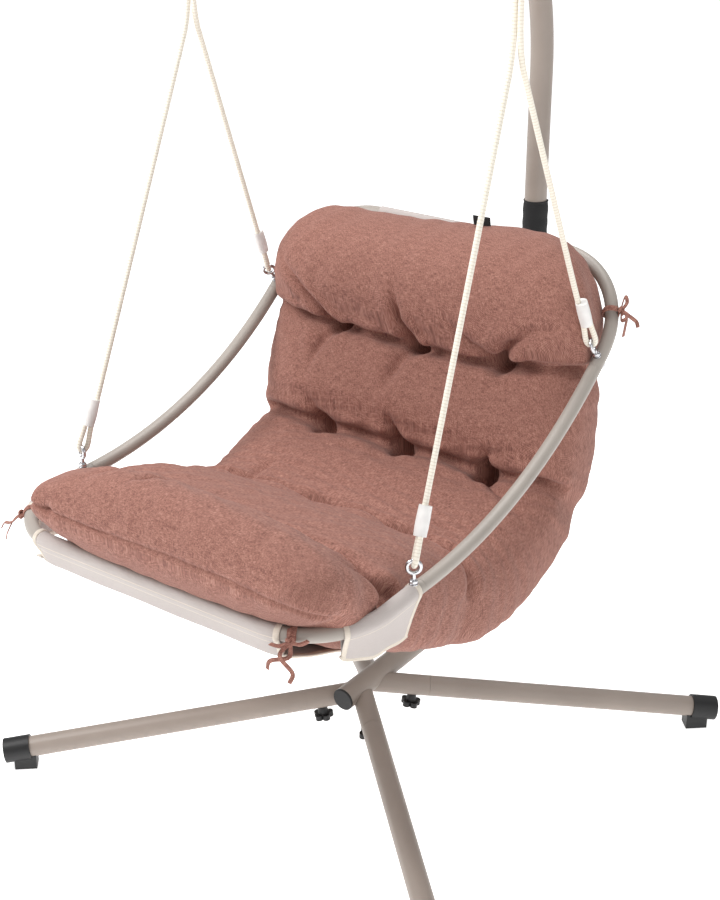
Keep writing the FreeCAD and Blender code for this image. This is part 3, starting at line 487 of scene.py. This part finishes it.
# the cushion, in metres along and above the seat line: crowned sections between four creases
pad = {"half": 0.353, "creases": (0.118, 0.414, 0.879, 1.178), "valley": (0.142, 0.176, 0.138, 0.138),
       "crown": (0.205, 0.188, 0.200, 0.195, 0.198), "tufts": (-0.190, 0.0, 0.190), "rollStart": -0.089,
       "rollCentre": -0.013, "rollLow": 0.055, "headEnd": 1.408, "headRound": 0.115, "cornerRound": 0.15,
       "sag": 0.034, "square": 3.9, "tuftReach": 0.055, "headDrop": 0.015, "edgeLift": 0.014,
       "crownPower": 0.72, "rollPower": 2.1, "voxel": 0.007, "pressure": 4.0, "frames": 20, "cap": 0.011}


# height of the top: sections that crown between creases, deepest where the tufts pull them down
def padTop(s, x):
    edges = [pad["rollStart"]] + list(pad["creases"]) + [pad["headEnd"]]
    depths = [pad["crown"][0]] + list(pad["valley"]) + [pad["crown"][4] - pad["headDrop"]]
    near = sum(hump(x, t, pad["tuftReach"]) for t in pad["tufts"])
    top = np.zeros_like(s)
    for k in range(5):
        inside = ((s >= edges[k]) if k in (0, 4) else (s > edges[k])) & (s <= edges[k + 1])
        t = np.clip((s - edges[k]) / (edges[k + 1] - edges[k]), 0, 1)
        low = depths[k] * (1 - t) + depths[k + 1] * t
        low = low + pad["edgeLift"] * (1 - near) * (np.abs(2 * t - 1) ** 3)
        bulge = np.sin(math.pi * t) ** pad["crownPower"]
        if k == 0:
            behind = np.clip((s - pad["rollCentre"]) / (edges[1] - pad["rollCentre"]), 0, 1)
            low = pad["crown"][0] + (depths[1] - pad["crown"][0]) * behind ** pad["rollPower"]
            bulge = 0 * t
        elif k == 4:
            bulge = np.where(t < 0.5, bulge, 1 + 0 * t)
        top = np.where(inside, np.maximum(low, low + (pad["crown"][k] - low) * bulge), top)
    return top


# the skin: each section across the line is a rounded box between the bottom and the top, both ends close
# as quarter circles, and the half width changes along the line as the sides pull in and bulge out
def padShape(rows, columns):
    q = np.linspace(0, 1, rows)
    s = pad["rollStart"] + (pad["headEnd"] - pad["rollStart"]) * q
    angle = np.linspace(0, 2 * math.pi, columns, endpoint=False)
    s, angle = np.meshgrid(s, angle, indexing="ij")
    power = 2 / pad["square"]
    across = np.sign(np.cos(angle)) * np.abs(np.cos(angle)) ** power
    lift = np.sign(np.sin(angle)) * np.abs(np.sin(angle)) ** power
    headCorner = np.clip((s - pad["headEnd"] + pad["cornerRound"]) / pad["cornerRound"], 0, 1)
    frontCorner = np.clip((pad["rollCentre"] - s) / 0.076, 0, 1)
    half = pad["half"] - pad["cornerRound"] * (1 - np.sqrt(1 - headCorner ** 2)) * 0.9
    half = half - 0.05 * frontCorner ** 2
    half = half - 0.011 * sum(hump(s, c, 0.03) for c in pad["creases"][1:])
    front = hump(s, -0.03, 0.13)
    half = half + np.where(across < 0, -0.078 * front, 0.016 * front)
    half = half + 0.020 * (across < 0) * smoothStep(s, 0.5, 0.8) * (1 - smoothStep(s, 1.15, 1.3))
    half = half + 0.020 * hump(s, 1.30, 0.10) * smoothStep(lift, -0.2, 0.5) * (0.35 + 0.65 * (across > 0))
    x = across * half
    share = np.abs(across)
    top = padTop(s, x)
    low = pad["rollLow"] + (0.006 - pad["rollLow"]) * smoothStep(s, pad["rollCentre"], 0.075)
    low = low + 0.018 * smoothStep(s, 1.28, 1.37)
    droop = 1 - (0.16 + 0.14 * (across < 0)) * share ** 2.2 * front
    top = low + (top - low) * droop
    overhang = pad["sag"] * smoothStep(share, 0.72, 0.98)
    low = low - overhang * smoothStep(s, 0.06, 0.25) * (1 - smoothStep(s, 0.95, 1.25))
    headTall = (0.022 * smoothStep(x, -0.12, 0.22) - 0.004) * smoothStep(s, 1.2, 1.4)
    t = np.clip((pad["rollCentre"] - s) / (pad["rollCentre"] - pad["rollStart"]), 0, 1)
    thin = np.sqrt(1 - t ** 2)
    t = np.clip((s - pad["headEnd"] + pad["headRound"]) / pad["headRound"], 0, 1)
    thin = thin * np.sqrt(1 - t ** 2)
    middle, thick = (top + low) / 2, (top - low) / 2
    middle = middle - 0.02 * t ** 2
    yz = seatPoint(s + headTall, middle + thick * lift * thin)
    return np.concatenate([x[..., None], yz], -1)


# applies every modifier of a piece
def finishMesh(piece):
    layer = bpy.context.view_layer
    layer.update()
    made = bpy.data.meshes.new_from_object(piece.evaluated_get(layer.depsgraph))
    piece.modifiers.clear()
    piece.data = made


def points(piece):
    co = np.zeros(len(piece.data.vertices) * 3)
    piece.data.vertices.foreach_get("co", co)
    return co.reshape(-1, 3)


def setPoints(piece, co):
    piece.data.vertices.foreach_set("co", np.asarray(co, np.float64).reshape(-1))
    piece.data.update()


def normals(piece):
    out = np.zeros(len(piece.data.vertices) * 3, np.float32)
    piece.data.vertex_normals.foreach_get("vector", out)
    return out.reshape(-1, 3).astype(float)


# distance from points (x, v) to a bent line of fold points
def foldDistance(x, v, line):
    best = np.full(x.shape, 9.0)
    where = np.zeros(x.shape)
    for k in range(len(line) - 1):
        a, b = np.array(line[k]), np.array(line[k + 1])
        d = b - a
        t = np.clip(((x - a[0]) * d[0] + (v - a[1]) * d[1]) / d.dot(d), 0, 1)
        reach = np.hypot(x - a[0] - t * d[0], v - a[1] - t * d[1])
        nearer = reach < best
        best, where = np.where(nearer, reach, best), np.where(nearer, (k + t) / (len(line) - 1), where)
    return best, where


# length along the cloth at height h above the seat line
def clothRun(s, h):
    inBend = np.clip((s - bendStart) / bend, 0, turnAngle)
    return s - inBend * np.clip(h, 0, 0.22)


# blows the cushion up as cloth under pressure, held at its creases, tufts and underside; no point moves
# further than the cap
def swell(piece):
    co = points(piece)
    s, h = seatPlace(co[:, 1], co[:, 2])
    hold = np.zeros(len(co))
    for c, depth in zip(pad["creases"], pad["valley"]):
        tight = sum(hump(co[:, 0], t, 0.035) for t in pad["tufts"])
        hold = np.maximum(hold, hump(s, c, 0.020) * np.clip(0.55 + tight, 0, 1) * (h > 0.08))
    hold = np.maximum(hold, (h < 0.035) * 1.0)
    group = piece.vertex_groups.new(name="held")
    for level in np.linspace(0.1, 1.0, 10):
        some = np.nonzero((hold > level - 0.1) & (hold <= level))[0]
        group.add(some.tolist(), float(level), "REPLACE")
    cloth = piece.modifiers.new("cloth", "CLOTH")
    cloth.settings.use_pressure = True
    cloth.settings.uniform_pressure_force = pad["pressure"]
    cloth.settings.vertex_group_mass = "held"
    cloth.settings.tension_stiffness = cloth.settings.compression_stiffness = 12
    cloth.settings.shear_stiffness, cloth.settings.bending_stiffness = 6, 0.6
    cloth.settings.mass, cloth.settings.quality = 0.35, 4
    cloth.settings.effector_weights.gravity = 0
    cloth.collision_settings.use_collision = False
    cloth.point_cache.frame_start, cloth.point_cache.frame_end = 1, pad["frames"]
    for step in range(1, pad["frames"] + 1):
        bpy.context.scene.frame_set(step)
    moved = bpy.data.meshes.new_from_object(piece.evaluated_get(bpy.context.view_layer.depsgraph))
    after = np.zeros(len(moved.vertices) * 3)
    moved.vertices.foreach_get("co", after)
    shift = after.reshape(-1, 3) - co
    far = np.linalg.norm(shift, axis=1, keepdims=True)
    shift = shift * np.minimum(1, pad["cap"] / np.maximum(far, 1e-9))
    piece.modifiers.clear()
    bpy.context.scene.frame_set(1)
    setPoints(piece, co + shift)
    print("cushion swelled by up to", round(float(far.max()) * 1000, 1), "mm")


cushion = gridPiece("lounge_cushion", padShape(240, 200), closeColumns=True)
tidyEnds(cushion)
remesh = cushion.modifiers.new("remesh", "REMESH")
remesh.mode, remesh.voxel_size = "VOXEL", pad["voxel"]
finishMesh(cushion)
swell(cushion)
even = cushion.modifiers.new("even", "SMOOTH")
even.factor, even.iterations = 0.5, 3
finer = cushion.modifiers.new("finer", "SUBSURF")
finer.levels = finer.render_levels = 1
finishMesh(cushion)
print("cushion surface", len(cushion.data.polygons), "faces")

# folds in (x, s), each with its depth and half width in metres: four creases, then the puckers at the tufts
c0, c1, c2, c3 = pad["creases"]
folds = [
    ([(-0.35, c3 + 0.012), (-0.27, c3 + 0.004), (-0.19, c3), (0.0, c3 - 0.006), (0.19, c3 - 0.004),
      (0.35, c3 + 0.018)], 0.013, 0.006),
    ([(-0.35, c2 + 0.02), (-0.19, c2), (-0.1, c2 + 0.006), (0.0, c2), (0.1, c2 + 0.008), (0.19, c2),
      (0.35, c2 + 0.03)], 0.013, 0.007),
    ([(-0.35, c1), (-0.19, c1), (-0.1, c1 + 0.01), (0.0, c1), (0.1, c1 + 0.01), (0.19, c1),
      (0.35, c1)], 0.015, 0.008),
    ([(-0.34, c0), (-0.15, c0 + 0.004), (0.05, c0 - 0.004), (0.22, c0 + 0.002), (0.36, c0)], 0.012, 0.010),
    ([(-0.19, c3), (-0.25, c3 + 0.06), (-0.31, c3 + 0.115)], 0.012, 0.007),
    ([(-0.19, c3), (-0.225, c3 - 0.05), (-0.235, c3 - 0.10)], 0.006, 0.009),
    ([(0.0, c3), (-0.022, c3 + 0.05), (-0.03, c3 + 0.12)], 0.010, 0.008),
    ([(0.0, c3), (-0.035, c3 - 0.06), (-0.05, c3 - 0.10)], 0.005, 0.010),
    ([(0.19, c3), (0.14, c3 + 0.03), (0.09, c3 + 0.075)], 0.008, 0.008),
    ([(0.19, c3), (0.22, c3 + 0.045), (0.27, c3 + 0.085), (0.32, c3 + 0.10)], 0.008, 0.009),
    ([(0.20, c3 + 0.002), (0.27, c3 + 0.022), (0.35, c3 + 0.035)], 0.006, 0.007),
    ([(0.19, c2), (0.25, c2 - 0.05), (0.33, c2 - 0.13)], 0.006, 0.008),
    ([(0.19, c2), (0.20, c2 + 0.05), (0.25, c2 + 0.10)], 0.005, 0.009),
    ([(0.0, c2), (-0.02, c2 + 0.06), (-0.025, c2 + 0.13)], 0.006, 0.009),
    ([(-0.19, c2), (-0.215, c2 + 0.05), (-0.23, c2 + 0.10)], 0.004, 0.010),
    ([(-0.19, c1), (-0.2, c1 + 0.1), (-0.19, c1 + 0.2)], 0.004, 0.009),
    ([(0.36, c0 + 0.01), (0.30, c0 - 0.045), (0.27, c0 - 0.10)], 0.012, 0.009),
    ([(0.35, c0 + 0.03), (0.33, c0 - 0.03), (0.325, c0 - 0.09)], 0.008, 0.008),
    ([(-0.10, 0.03), (-0.13, -0.02), (-0.15, -0.06)], 0.004, 0.008),
    ([(-0.03, 0.02), (-0.055, -0.03), (-0.07, -0.06)], 0.004, 0.008),
]
press = {"strength": 1.5, "shortFold": 1.5, "fade": 0.85, "tuft": (0.016, 0.012), "dimple": (0.011, 0.038),
         "seamHigh": 0.100, "seam": (0.0055, 0.0035), "seamKnot": (-0.205, 0.010, 0.012), "ripple": 0.0016,
         "fineRipple": 0.0006}


# pushes the skin in along its normals: a bell of each fold's depth across its line with a low ridge beside
# it, a pit at each tuft, the seam round the front, and two slow waves of unevenness
def pressFolds(piece):
    co, facing = points(piece), normals(piece)
    s, h = seatPlace(co[:, 1], co[:, 2])
    shrink = np.where((s > bendStart) & (s < bendEnd), (bend - 0.165) / bend, 1.0)
    upper = smoothStep(h, 0.09, 0.12)
    depth = np.zeros(len(co))
    for line, deep, wide in folds:
        near = np.abs(s - np.mean([p[1] for p in line])) < 0.25
        squeeze = float(np.mean(shrink[near])) if near.any() else 1.0
        d, along = foldDistance(co[:, 0], s * squeeze, [(p[0], p[1] * squeeze) for p in line])
        deep = deep if len(line) > 4 else deep * press["shortFold"]
        fade = 1.0 if len(line) > 4 else 1 - press["fade"] * smoothStep(along, 0.25, 1.0)
        wave = 1 + 0.25 * np.sin(co[:, 0] * 61 + s * 37)
        section = hump(d, 0, wide) - 0.22 * hump(d, wide * 3.2, wide * 1.5)
        depth += press["strength"] * deep * wave * fade * section * upper
    for c in pad["creases"][1:]:
        squeeze = 0.55 if bendStart < c < bendEnd - 0.1 else 1.0
        for t in pad["tufts"]:
            d = np.hypot(co[:, 0] - t, (s - c) * squeeze)
            pit, dimple = press["tuft"], press["dimple"]
            depth += (pit[0] * hump(d, 0, pit[1]) + dimple[0] * hump(d, 0, dimple[1])) * upper
    frontFace = smoothStep(-s, -0.02, 0.03)
    seamHigh = press["seamHigh"] + 0.006 * np.sin(co[:, 0] * 9) - 0.012 * (co[:, 0] / 0.35)
    depth += press["seam"][0] * hump(h, seamHigh, press["seam"][1]) * frontFace
    knotX, knotDeep, knotWide = press["seamKnot"]
    depth += knotDeep * hump(np.hypot(co[:, 0] - knotX, h - seamHigh), 0, knotWide) * frontFace
    slow = np.sin(co[:, 0] * 43 + 9 * np.sin(s * 11)) * np.sin(s * 31 + 5 * np.sin(co[:, 0] * 13))
    ripple = slow * press["ripple"]
    ripple += np.sin(co[:, 0] * 95 + 7 * np.sin(s * 23)) * np.sin(s * 71 + 2.0) * press["fineRipple"]
    setPoints(piece, co - facing * (depth + ripple)[:, None])


pressFolds(cushion)
settle = cushion.modifiers.new("settle", "SMOOTH")
settle.factor, settle.iterations = 0.3, 1
finishMesh(cushion)

# UV in metres: across the seat, and along the cloth; both run on over the sides and ends
co = points(cushion)
s, h = seatPlace(co[:, 1], co[:, 2])
u = co[:, 0] + np.sign(co[:, 0]) * smoothStep(np.abs(co[:, 0]), 0.29, 0.35) * (0.19 - h)
v = clothRun(s, h) - smoothStep(-s, 0.02, 0.08) * (0.19 - h) + smoothStep(s, 1.36, 1.42) * (0.19 - h)
corner = np.zeros(len(cushion.data.loops), int)
cushion.data.loops.foreach_get("vertex_index", corner)
cloth = cushion.data.uv_layers.new(name="UVMap")
cloth.data.foreach_set("uv", np.stack([u[corner], v[corner]], -1).reshape(-1).astype(np.float32))
cushion.data.shade_smooth()
dress(cushion, "rose_linen", "chair", "cushion")
print("cushion done")

# the sling: one panel that cups under the cushion, taped along both edges
slingLook = {"half": 0.286, "length": 1.3616, "thick": 0.0012, "cup": 0.010, "hang": 0.005, "tape": 0.012,
             "tapeThick": 0.0034}


# height above the seat line: up with the cube of the share of the half width, down a little in the middle
def slingGrid(acrossFrom, acrossTo, rows=200, columns=60):
    s = np.linspace(0.004, slingLook["length"] - 0.016, rows)
    x = np.linspace(acrossFrom, acrossTo, columns)
    s, x = np.meshgrid(s, x, indexing="ij")
    share = np.abs(x) / slingLook["half"]
    h = slingLook["cup"] * share ** 3 * smoothStep(s, 0.05, 0.3) - slingLook["hang"] * (1 - share ** 2)
    h = h + 0.0007 * np.sin(s * 55 + 3 * np.sin(x * 9)) * share ** 2
    spot = np.concatenate([x[..., None], seatPoint(s, h)], -1)
    return spot, (x, s)


# a grid of points made into cloth of a real thickness, half to each side of the grid
def clothPiece(name, spots, uv, thick):
    piece = gridPiece(name, spots, uv)
    solid = piece.modifiers.new("thick", "SOLIDIFY")
    solid.thickness, solid.offset = thick, 0.0
    finishMesh(piece)
    piece.data.shade_smooth()
    return piece


spots, uv = slingGrid(-slingLook["half"], slingLook["half"])
panel = dress(clothPiece("sling_panel", spots, uv, slingLook["thick"]), "sling_fabric", "chair", "sling")
for side in (-1, 1):
    outer = side * (slingLook["half"] + 0.0006)
    spots, uv = slingGrid(outer - side * slingLook["tape"], outer, 200, 5)
    hem = clothPiece("sling_hem_" + ("left" if side < 0 else "right"), spots, uv, slingLook["tapeThick"])
    dress(hem, "tape", "chair")

# the sleeves that wrap the tubes: thicknesses, gaps over the cloth below, and how far each hangs
sleeveLook = {"thick": 0.0012, "tapeThick": 0.0010, "tapeGap": 0.0011, "stitchGap": 0.0004,
              "frontHalf": 0.272, "frontHang": 0.046, "frontTapeHang": 0.0465, "sideHang": 0.045,
              "sideTapeHang": 0.0456, "sideSpread": 0.043, "sideWave": 0.0015, "sideLean": 0.16,
              "backHalf": 0.204, "backHang": 0.032}
tubeRadius = 0.0125
frontDirection = np.array([0.0, -math.cos(math.radians(5)), -math.sin(math.radians(5))])
frontBar = np.array([0.0, -0.5787, 0.6295])
cornerReach, cornerX = 0.140, 0.235


# a place on the front tube: length from its middle, positive to the right; gives the spot and its heading
def frontTube(run):
    run = np.asarray(run, float)
    side, far = np.sign(run), np.abs(run)
    turned = np.clip((far - cornerX) / cornerReach, 0, math.pi / 2)
    beyond = np.maximum(0, far - cornerX - cornerReach * math.pi / 2)
    x = side * (np.minimum(far, cornerX) + cornerReach * np.sin(turned))
    back = cornerReach * (1 - np.cos(turned)) + beyond
    return x[..., None] * np.array([1.0, 0, 0]) + frontBar - back[..., None] * frontDirection, turned, side


# cloth that goes round the tube and hangs together below it; hang is how far, lean is inwards per metre
def wrapGrid(runs, hang, grow=0.0, lean=0.1, across=40):
    spot, turned, side = frontTube(runs)
    outward = np.stack([side * np.sin(turned), -np.cos(turned) * math.cos(math.radians(5)),
                        -np.cos(turned) * math.sin(math.radians(5))], -1)
    up = np.array([0.0, 0, 1.0])
    radius = tubeRadius + sleeveLook["thick"] + grow
    around = np.linspace(0, 2 * math.pi, across)
    ring = np.stack([-np.sin(around), -np.cos(around)], -1)
    drop = np.broadcast_to(hang, np.shape(runs))
    edge = np.abs(around - math.pi) / math.pi
    low = smoothStep(edge, 0.62, 1.0) ** 1.4
    sidewise = ring[:, 0] * (1 - 0.80 * low) * radius
    heights = np.cos(around - math.pi) * radius
    place = spot[:, None] - outward[:, None] * sidewise[None, :, None] + up * heights[None, :, None]
    place = place - up * (low[None, :] * (drop[:, None] - radius))[..., None]
    place = place - outward[:, None] * (low[None, :] * drop[:, None] * lean)[..., None]
    v = np.cumsum(np.concatenate([[0], np.linalg.norm(np.diff(place[len(place) // 2], axis=0), axis=1)]))
    u, v = np.meshgrid(np.asarray(runs), v, indexing="ij")
    return place, (u, v)


bandHalf = sleeveLook["frontHalf"]
runs = np.linspace(-bandHalf, bandHalf, 120)
hangFront = sleeveLook["frontHang"] + 0.0006 * np.sin(runs * 37)
spots, uv = wrapGrid(runs, hangFront)
frontSleeve = clothPiece("front_sleeve_cloth", spots, uv, sleeveLook["thick"])
dress(frontSleeve, "sling_fabric", "chair", "sling_front_sleeve")
for side in (-1, 1):
    runs = np.linspace(side * (bandHalf - 0.009), side * (bandHalf + 0.0008), 4)
    spots, uv = wrapGrid(np.sort(runs), sleeveLook["frontTapeHang"], sleeveLook["tapeGap"])
    tape = clothPiece("front_sleeve_tape_%d" % (side + 1), spots, uv, sleeveLook["tapeThick"])
    dress(tape, "tape", "chair")
stitchRuns = np.linspace(-bandHalf + 0.004, bandHalf - 0.004, 150)
spots, _ = wrapGrid(stitchRuns, sleeveLook["frontHang"], sleeveLook["stitchGap"])
for row, name in ((5, "low"), (9, "high")):
    line = spots[:, row]
    seam = strap("front_sleeve_seam_" + name, line, 0.0007, 0.0006, (0, 0, 1.0), 6)
    dress(seam, "tape", "chair")

first = cornerX + cornerReach * (math.pi / 2 - math.radians(36))
last = cornerX + cornerReach * math.pi / 2 + 0.073


# how far a side sleeve hangs: start, and more with the root of the way along it, and a slow wave
def sideHang(far, start):
    t = np.maximum((far - first) / (last - first), 0)
    return start + sleeveLook["sideSpread"] * np.sqrt(t) + sleeveLook["sideWave"] * np.sin(far * 90)


lean = sleeveLook["sideLean"]
for side, label in ((-1, "left"), (1, "right")):
    far = np.linspace(first, last, 60)
    spots, uv = wrapGrid(side * far, sideHang(far, sleeveLook["sideHang"]), lean=lean)
    if side < 0:
        spots, uv = spots[:, ::-1], (uv[0][:, ::-1], uv[1][:, ::-1])
    cloth = clothPiece("side_sleeve_cloth_" + label, spots, uv, sleeveLook["thick"])
    dress(cloth, "sling_fabric", "chair", "sling_side_sleeve_" + label)
    for name, part in (("front", far < first + 0.010), ("back", far > last - 0.010)):
        some = np.linspace(far[part][0], far[part][-1] + (0.0006 if name == "back" else 0), 5)
        hang = sideHang(some, sleeveLook["sideTapeHang"])
        spots, uv = wrapGrid(side * some, hang, sleeveLook["tapeGap"], lean)
        tape = clothPiece("side_sleeve_tape_%s_%s" % (name, label), spots, uv, sleeveLook["tapeThick"])
        dress(tape, "tape", "chair")
    spots, _ = wrapGrid(side * far, sideHang(far, sleeveLook["sideHang"]), sleeveLook["stitchGap"], lean)
    edge = strap("side_sleeve_edge_" + label, spots[:, 0], 0.0046, 0.0013, (0, 0, 1.0), 10, 0.7)
    dress(edge, "tape", "chair")
    seamRow = 6 if side > 0 else 33
    seam = strap("side_sleeve_seam_" + label, spots[:, seamRow], 0.0007, 0.0006, (0, 0, 1.0), 6)
    dress(seam, "tape", "chair")

# the back sleeve: round the straight back bar, its edges together below it
backBar = np.array([0.0, 0.3268, 1.0184])
runs = np.linspace(-sleeveLook["backHalf"], sleeveLook["backHalf"], 80)
around = np.linspace(0, 2 * math.pi, 40)
radius = tubeRadius + sleeveLook["thick"]
down = np.array([0.0, -math.cos(rise), -math.sin(rise)])
outward = np.array([0.0, math.sin(rise), -math.cos(rise)])
low = smoothStep(np.abs(around - math.pi) / math.pi, 0.62, 1.0) ** 1.4
profile = (np.sin(around) * radius * (1 - 0.8 * low))[:, None] * outward
profile = profile + (np.cos(around) * radius)[:, None] * down
profile = profile + (low * sleeveLook["backHang"])[:, None] * down
spots = backBar + runs[:, None, None] * np.array([1.0, 0, 0]) + profile[None]
v = np.cumsum(np.concatenate([[0], np.linalg.norm(np.diff(profile, axis=0), axis=1)]))
uv = np.meshgrid(runs, v, indexing="ij")
backSleeve = clothPiece("back_sleeve_cloth", spots, uv, sleeveLook["thick"])
dress(backSleeve, "sling_fabric", "chair", "sling_back_sleeve")
print("sling and sleeves")

# the ties: a wrap round the tube, a knot and two tails, and loops on the two bows
tieLook = {"half": 0.0042, "thick": 0.0013, "pitch": 0.0085, "turns": 2.2, "gap": 0.0022, "knotOut": 0.0055,
           "knotHalf": 0.0034, "knotThick": 0.0017, "knotSize": 0.0023, "knotDeep": 0.0022,
           "tailHalf": 0.0036, "tailThick": 0.0011, "loop": 0.026}
backCorner, backCornerX = 0.163, 0.212
rearLeg = unit(np.array([0.0, 0.3268 - 0.178, 1.0184 - 0.862]))
tiePlaces = {
    "front_left": (math.radians(38), -1, [(-0.044, -0.010, -0.036), (-0.024, -0.018, -0.048)], False),
    "front_right": (math.radians(67), 1, [(-0.034, -0.016, -0.052), (0.012, -0.018, -0.060)], True),
    "back_left": (math.radians(22), -1, [(-0.016, -0.004, -0.042), (-0.028, 0.004, -0.030)], False),
    "back_right": (math.radians(22), 1, [(0.010, -0.006, -0.046), (0.034, 0.002, -0.026)], True),
}
tailHalf, tailThick = tieLook["tailHalf"], tieLook["tailThick"]
for label, (angle, side, tails, bow) in tiePlaces.items():
    front = label.startswith("front")
    leg = frontDirection if front else rearLeg
    reach, centreX, bar = (cornerReach, cornerX, frontBar) if front else (backCorner, backCornerX, backBar)
    ray = np.array([side * math.cos(angle), 0, 0]) + leg * math.sin(angle)
    along = unit(np.array([-side * math.sin(angle), 0, 0]) + leg * math.cos(angle))
    centre = np.array([side * centreX, 0, 0]) + bar - leg * reach + ray * reach
    over = unit(np.cross(along, ray))
    turn = np.linspace(0, 2 * tieLook["turns"] * math.pi, 120)
    wrapRadius = tubeRadius + tieLook["gap"]
    wrap = centre + (np.cos(turn)[:, None] * ray + np.sin(turn)[:, None] * over) * wrapRadius
    wrap = wrap + along * ((turn / turn[-1] - 0.5) * tieLook["pitch"])[:, None]
    band = strap("tie_wrap_" + label, wrap, tieLook["half"], tieLook["thick"], along, 10, 0.7)
    dress(band, "rose_linen", "chair", "tie_" + label)
    knotSpot = centre + ray * (wrapRadius + tieLook["knotOut"])
    turn = np.linspace(0, 2 * math.pi, 70)
    knot = (np.sin(turn) + 2 * np.sin(2 * turn))[:, None] * along
    knot = knot + (np.cos(turn) - 2 * np.cos(2 * turn))[:, None] * over
    knot = knotSpot + knot * tieLook["knotSize"] - np.sin(3 * turn)[:, None] * ray * tieLook["knotDeep"]
    knotBand = strap("tie_knot_" + label, knot, tieLook["knotHalf"], tieLook["knotThick"], ray, 10, 0.8)
    dress(knotBand, "rose_linen", "chair")
    for k, tail in enumerate(tails):
        pull = np.array(tail)
        kink = np.cross(pull, ray) * (0.25 if k else -0.2)
        line = smoothLine([knotSpot, knotSpot + pull * 0.3 + ray * 0.006 + kink,
                           knotSpot + pull * 0.7 + ray * 0.005 - kink * 0.4, knotSpot + pull], 40)
        tailBand = strap("tie_tail_%d_%s" % (k, label), line, tailHalf, tailThick, along, 10, 0.7)
        dress(tailBand, "rose_linen", "chair")
    if bow:
        for k, lean in enumerate((-1, 1)):
            swing = along * (tieLook["loop"] * lean) + np.array([0, 0, 0.008 - 0.010 * k])
            line = smoothLine([knotSpot, knotSpot + swing * 0.6 + ray * 0.010,
                               knotSpot + swing * 1.15 + ray * 0.006,
                               knotSpot + swing * 0.6 - np.array([0, 0, 0.008]), knotSpot], 40)
            loop = strap("tie_bow_%d_%s" % (k, label), line, tailHalf, tailThick, ray, 10, 0.7)
            dress(loop, "rose_linen", "chair")
print("ties")

# the blank tab at the cushion's top seam: it stands on the highest point of the strip below it
tabLook = {"x": 0.10, "reach": 0.007, "wide": 0.036, "tall": 0.019, "tip": 0.004, "thick": 0.0012}
co = points(cushion)
strip = co[np.abs(co[:, 0] - tabLook["x"]) < 0.02]
tabSpot = np.array([tabLook["x"], 0, 0]) + strip[strip[:, 2].argmax()] * np.array([0, 1, 1])
tabSpot = tabSpot + np.array([0, 0, tabLook["reach"]])
tabAcross, tabUp = np.array([tabLook["wide"], 0.0, 0.0]), np.array([0.0, -tabLook["tip"], tabLook["tall"]])
w, t = np.meshgrid(np.linspace(-0.5, 0.5, 14), np.linspace(-0.5, 0.5, 10), indexing="ij")
curl = 0.0012 * np.sin(w * 3.0) + 0.0015 * t ** 2
spots = tabSpot + w[..., None] * tabAcross + t[..., None] * tabUp + curl[..., None] * np.array([0, 1.0, 0])
tab = clothPiece("seam_tab", spots, (w * tabLook["wide"], t * tabLook["tall"]), tabLook["thick"])
dress(tab, "black_fabric", "chair")

# the padded wrap on the mast: just over one turn of cloth, thicker where it overlaps, sewn near both ends
mastLook = {"turns": 1.06, "start": 0.3, "radius": 0.0242, "overlap": 0.0016, "wave": 0.0004, "seam": 0.0009,
            "seams": (0.06, 0.94), "seamWide": 0.03, "inset": 0.002, "thick": 0.0018}
low, high = (np.array(corner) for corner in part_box("mast_wrap"))
mastY = (low[1] + high[1]) / 2
tall = high[2] - low[2]
turn = np.linspace(0, 2 * mastLook["turns"] * math.pi, 140)
level = np.linspace(0, 1, 40)
a, b = np.meshgrid(turn, level, indexing="ij")
lift = mastLook["radius"] + mastLook["overlap"] * smoothStep(a, 5.6, 6.4) + mastLook["wave"] * np.sin(b * 19)
for seam in mastLook["seams"]:
    lift = lift - mastLook["seam"] * hump(b, seam, mastLook["seamWide"])
heading, inset = a + mastLook["start"], mastLook["inset"]
spots = np.stack([np.cos(heading) * lift, mastY + np.sin(heading) * lift,
                  low[2] + inset + b * (tall - 2 * inset)], -1)
mastWrap = clothPiece("mast_wrap_cloth", spots, (a * 0.0245, b * tall), mastLook["thick"])
dress(mastWrap, "black_fabric", "stand", "mast_wrap")
print("tab and mast wrap")
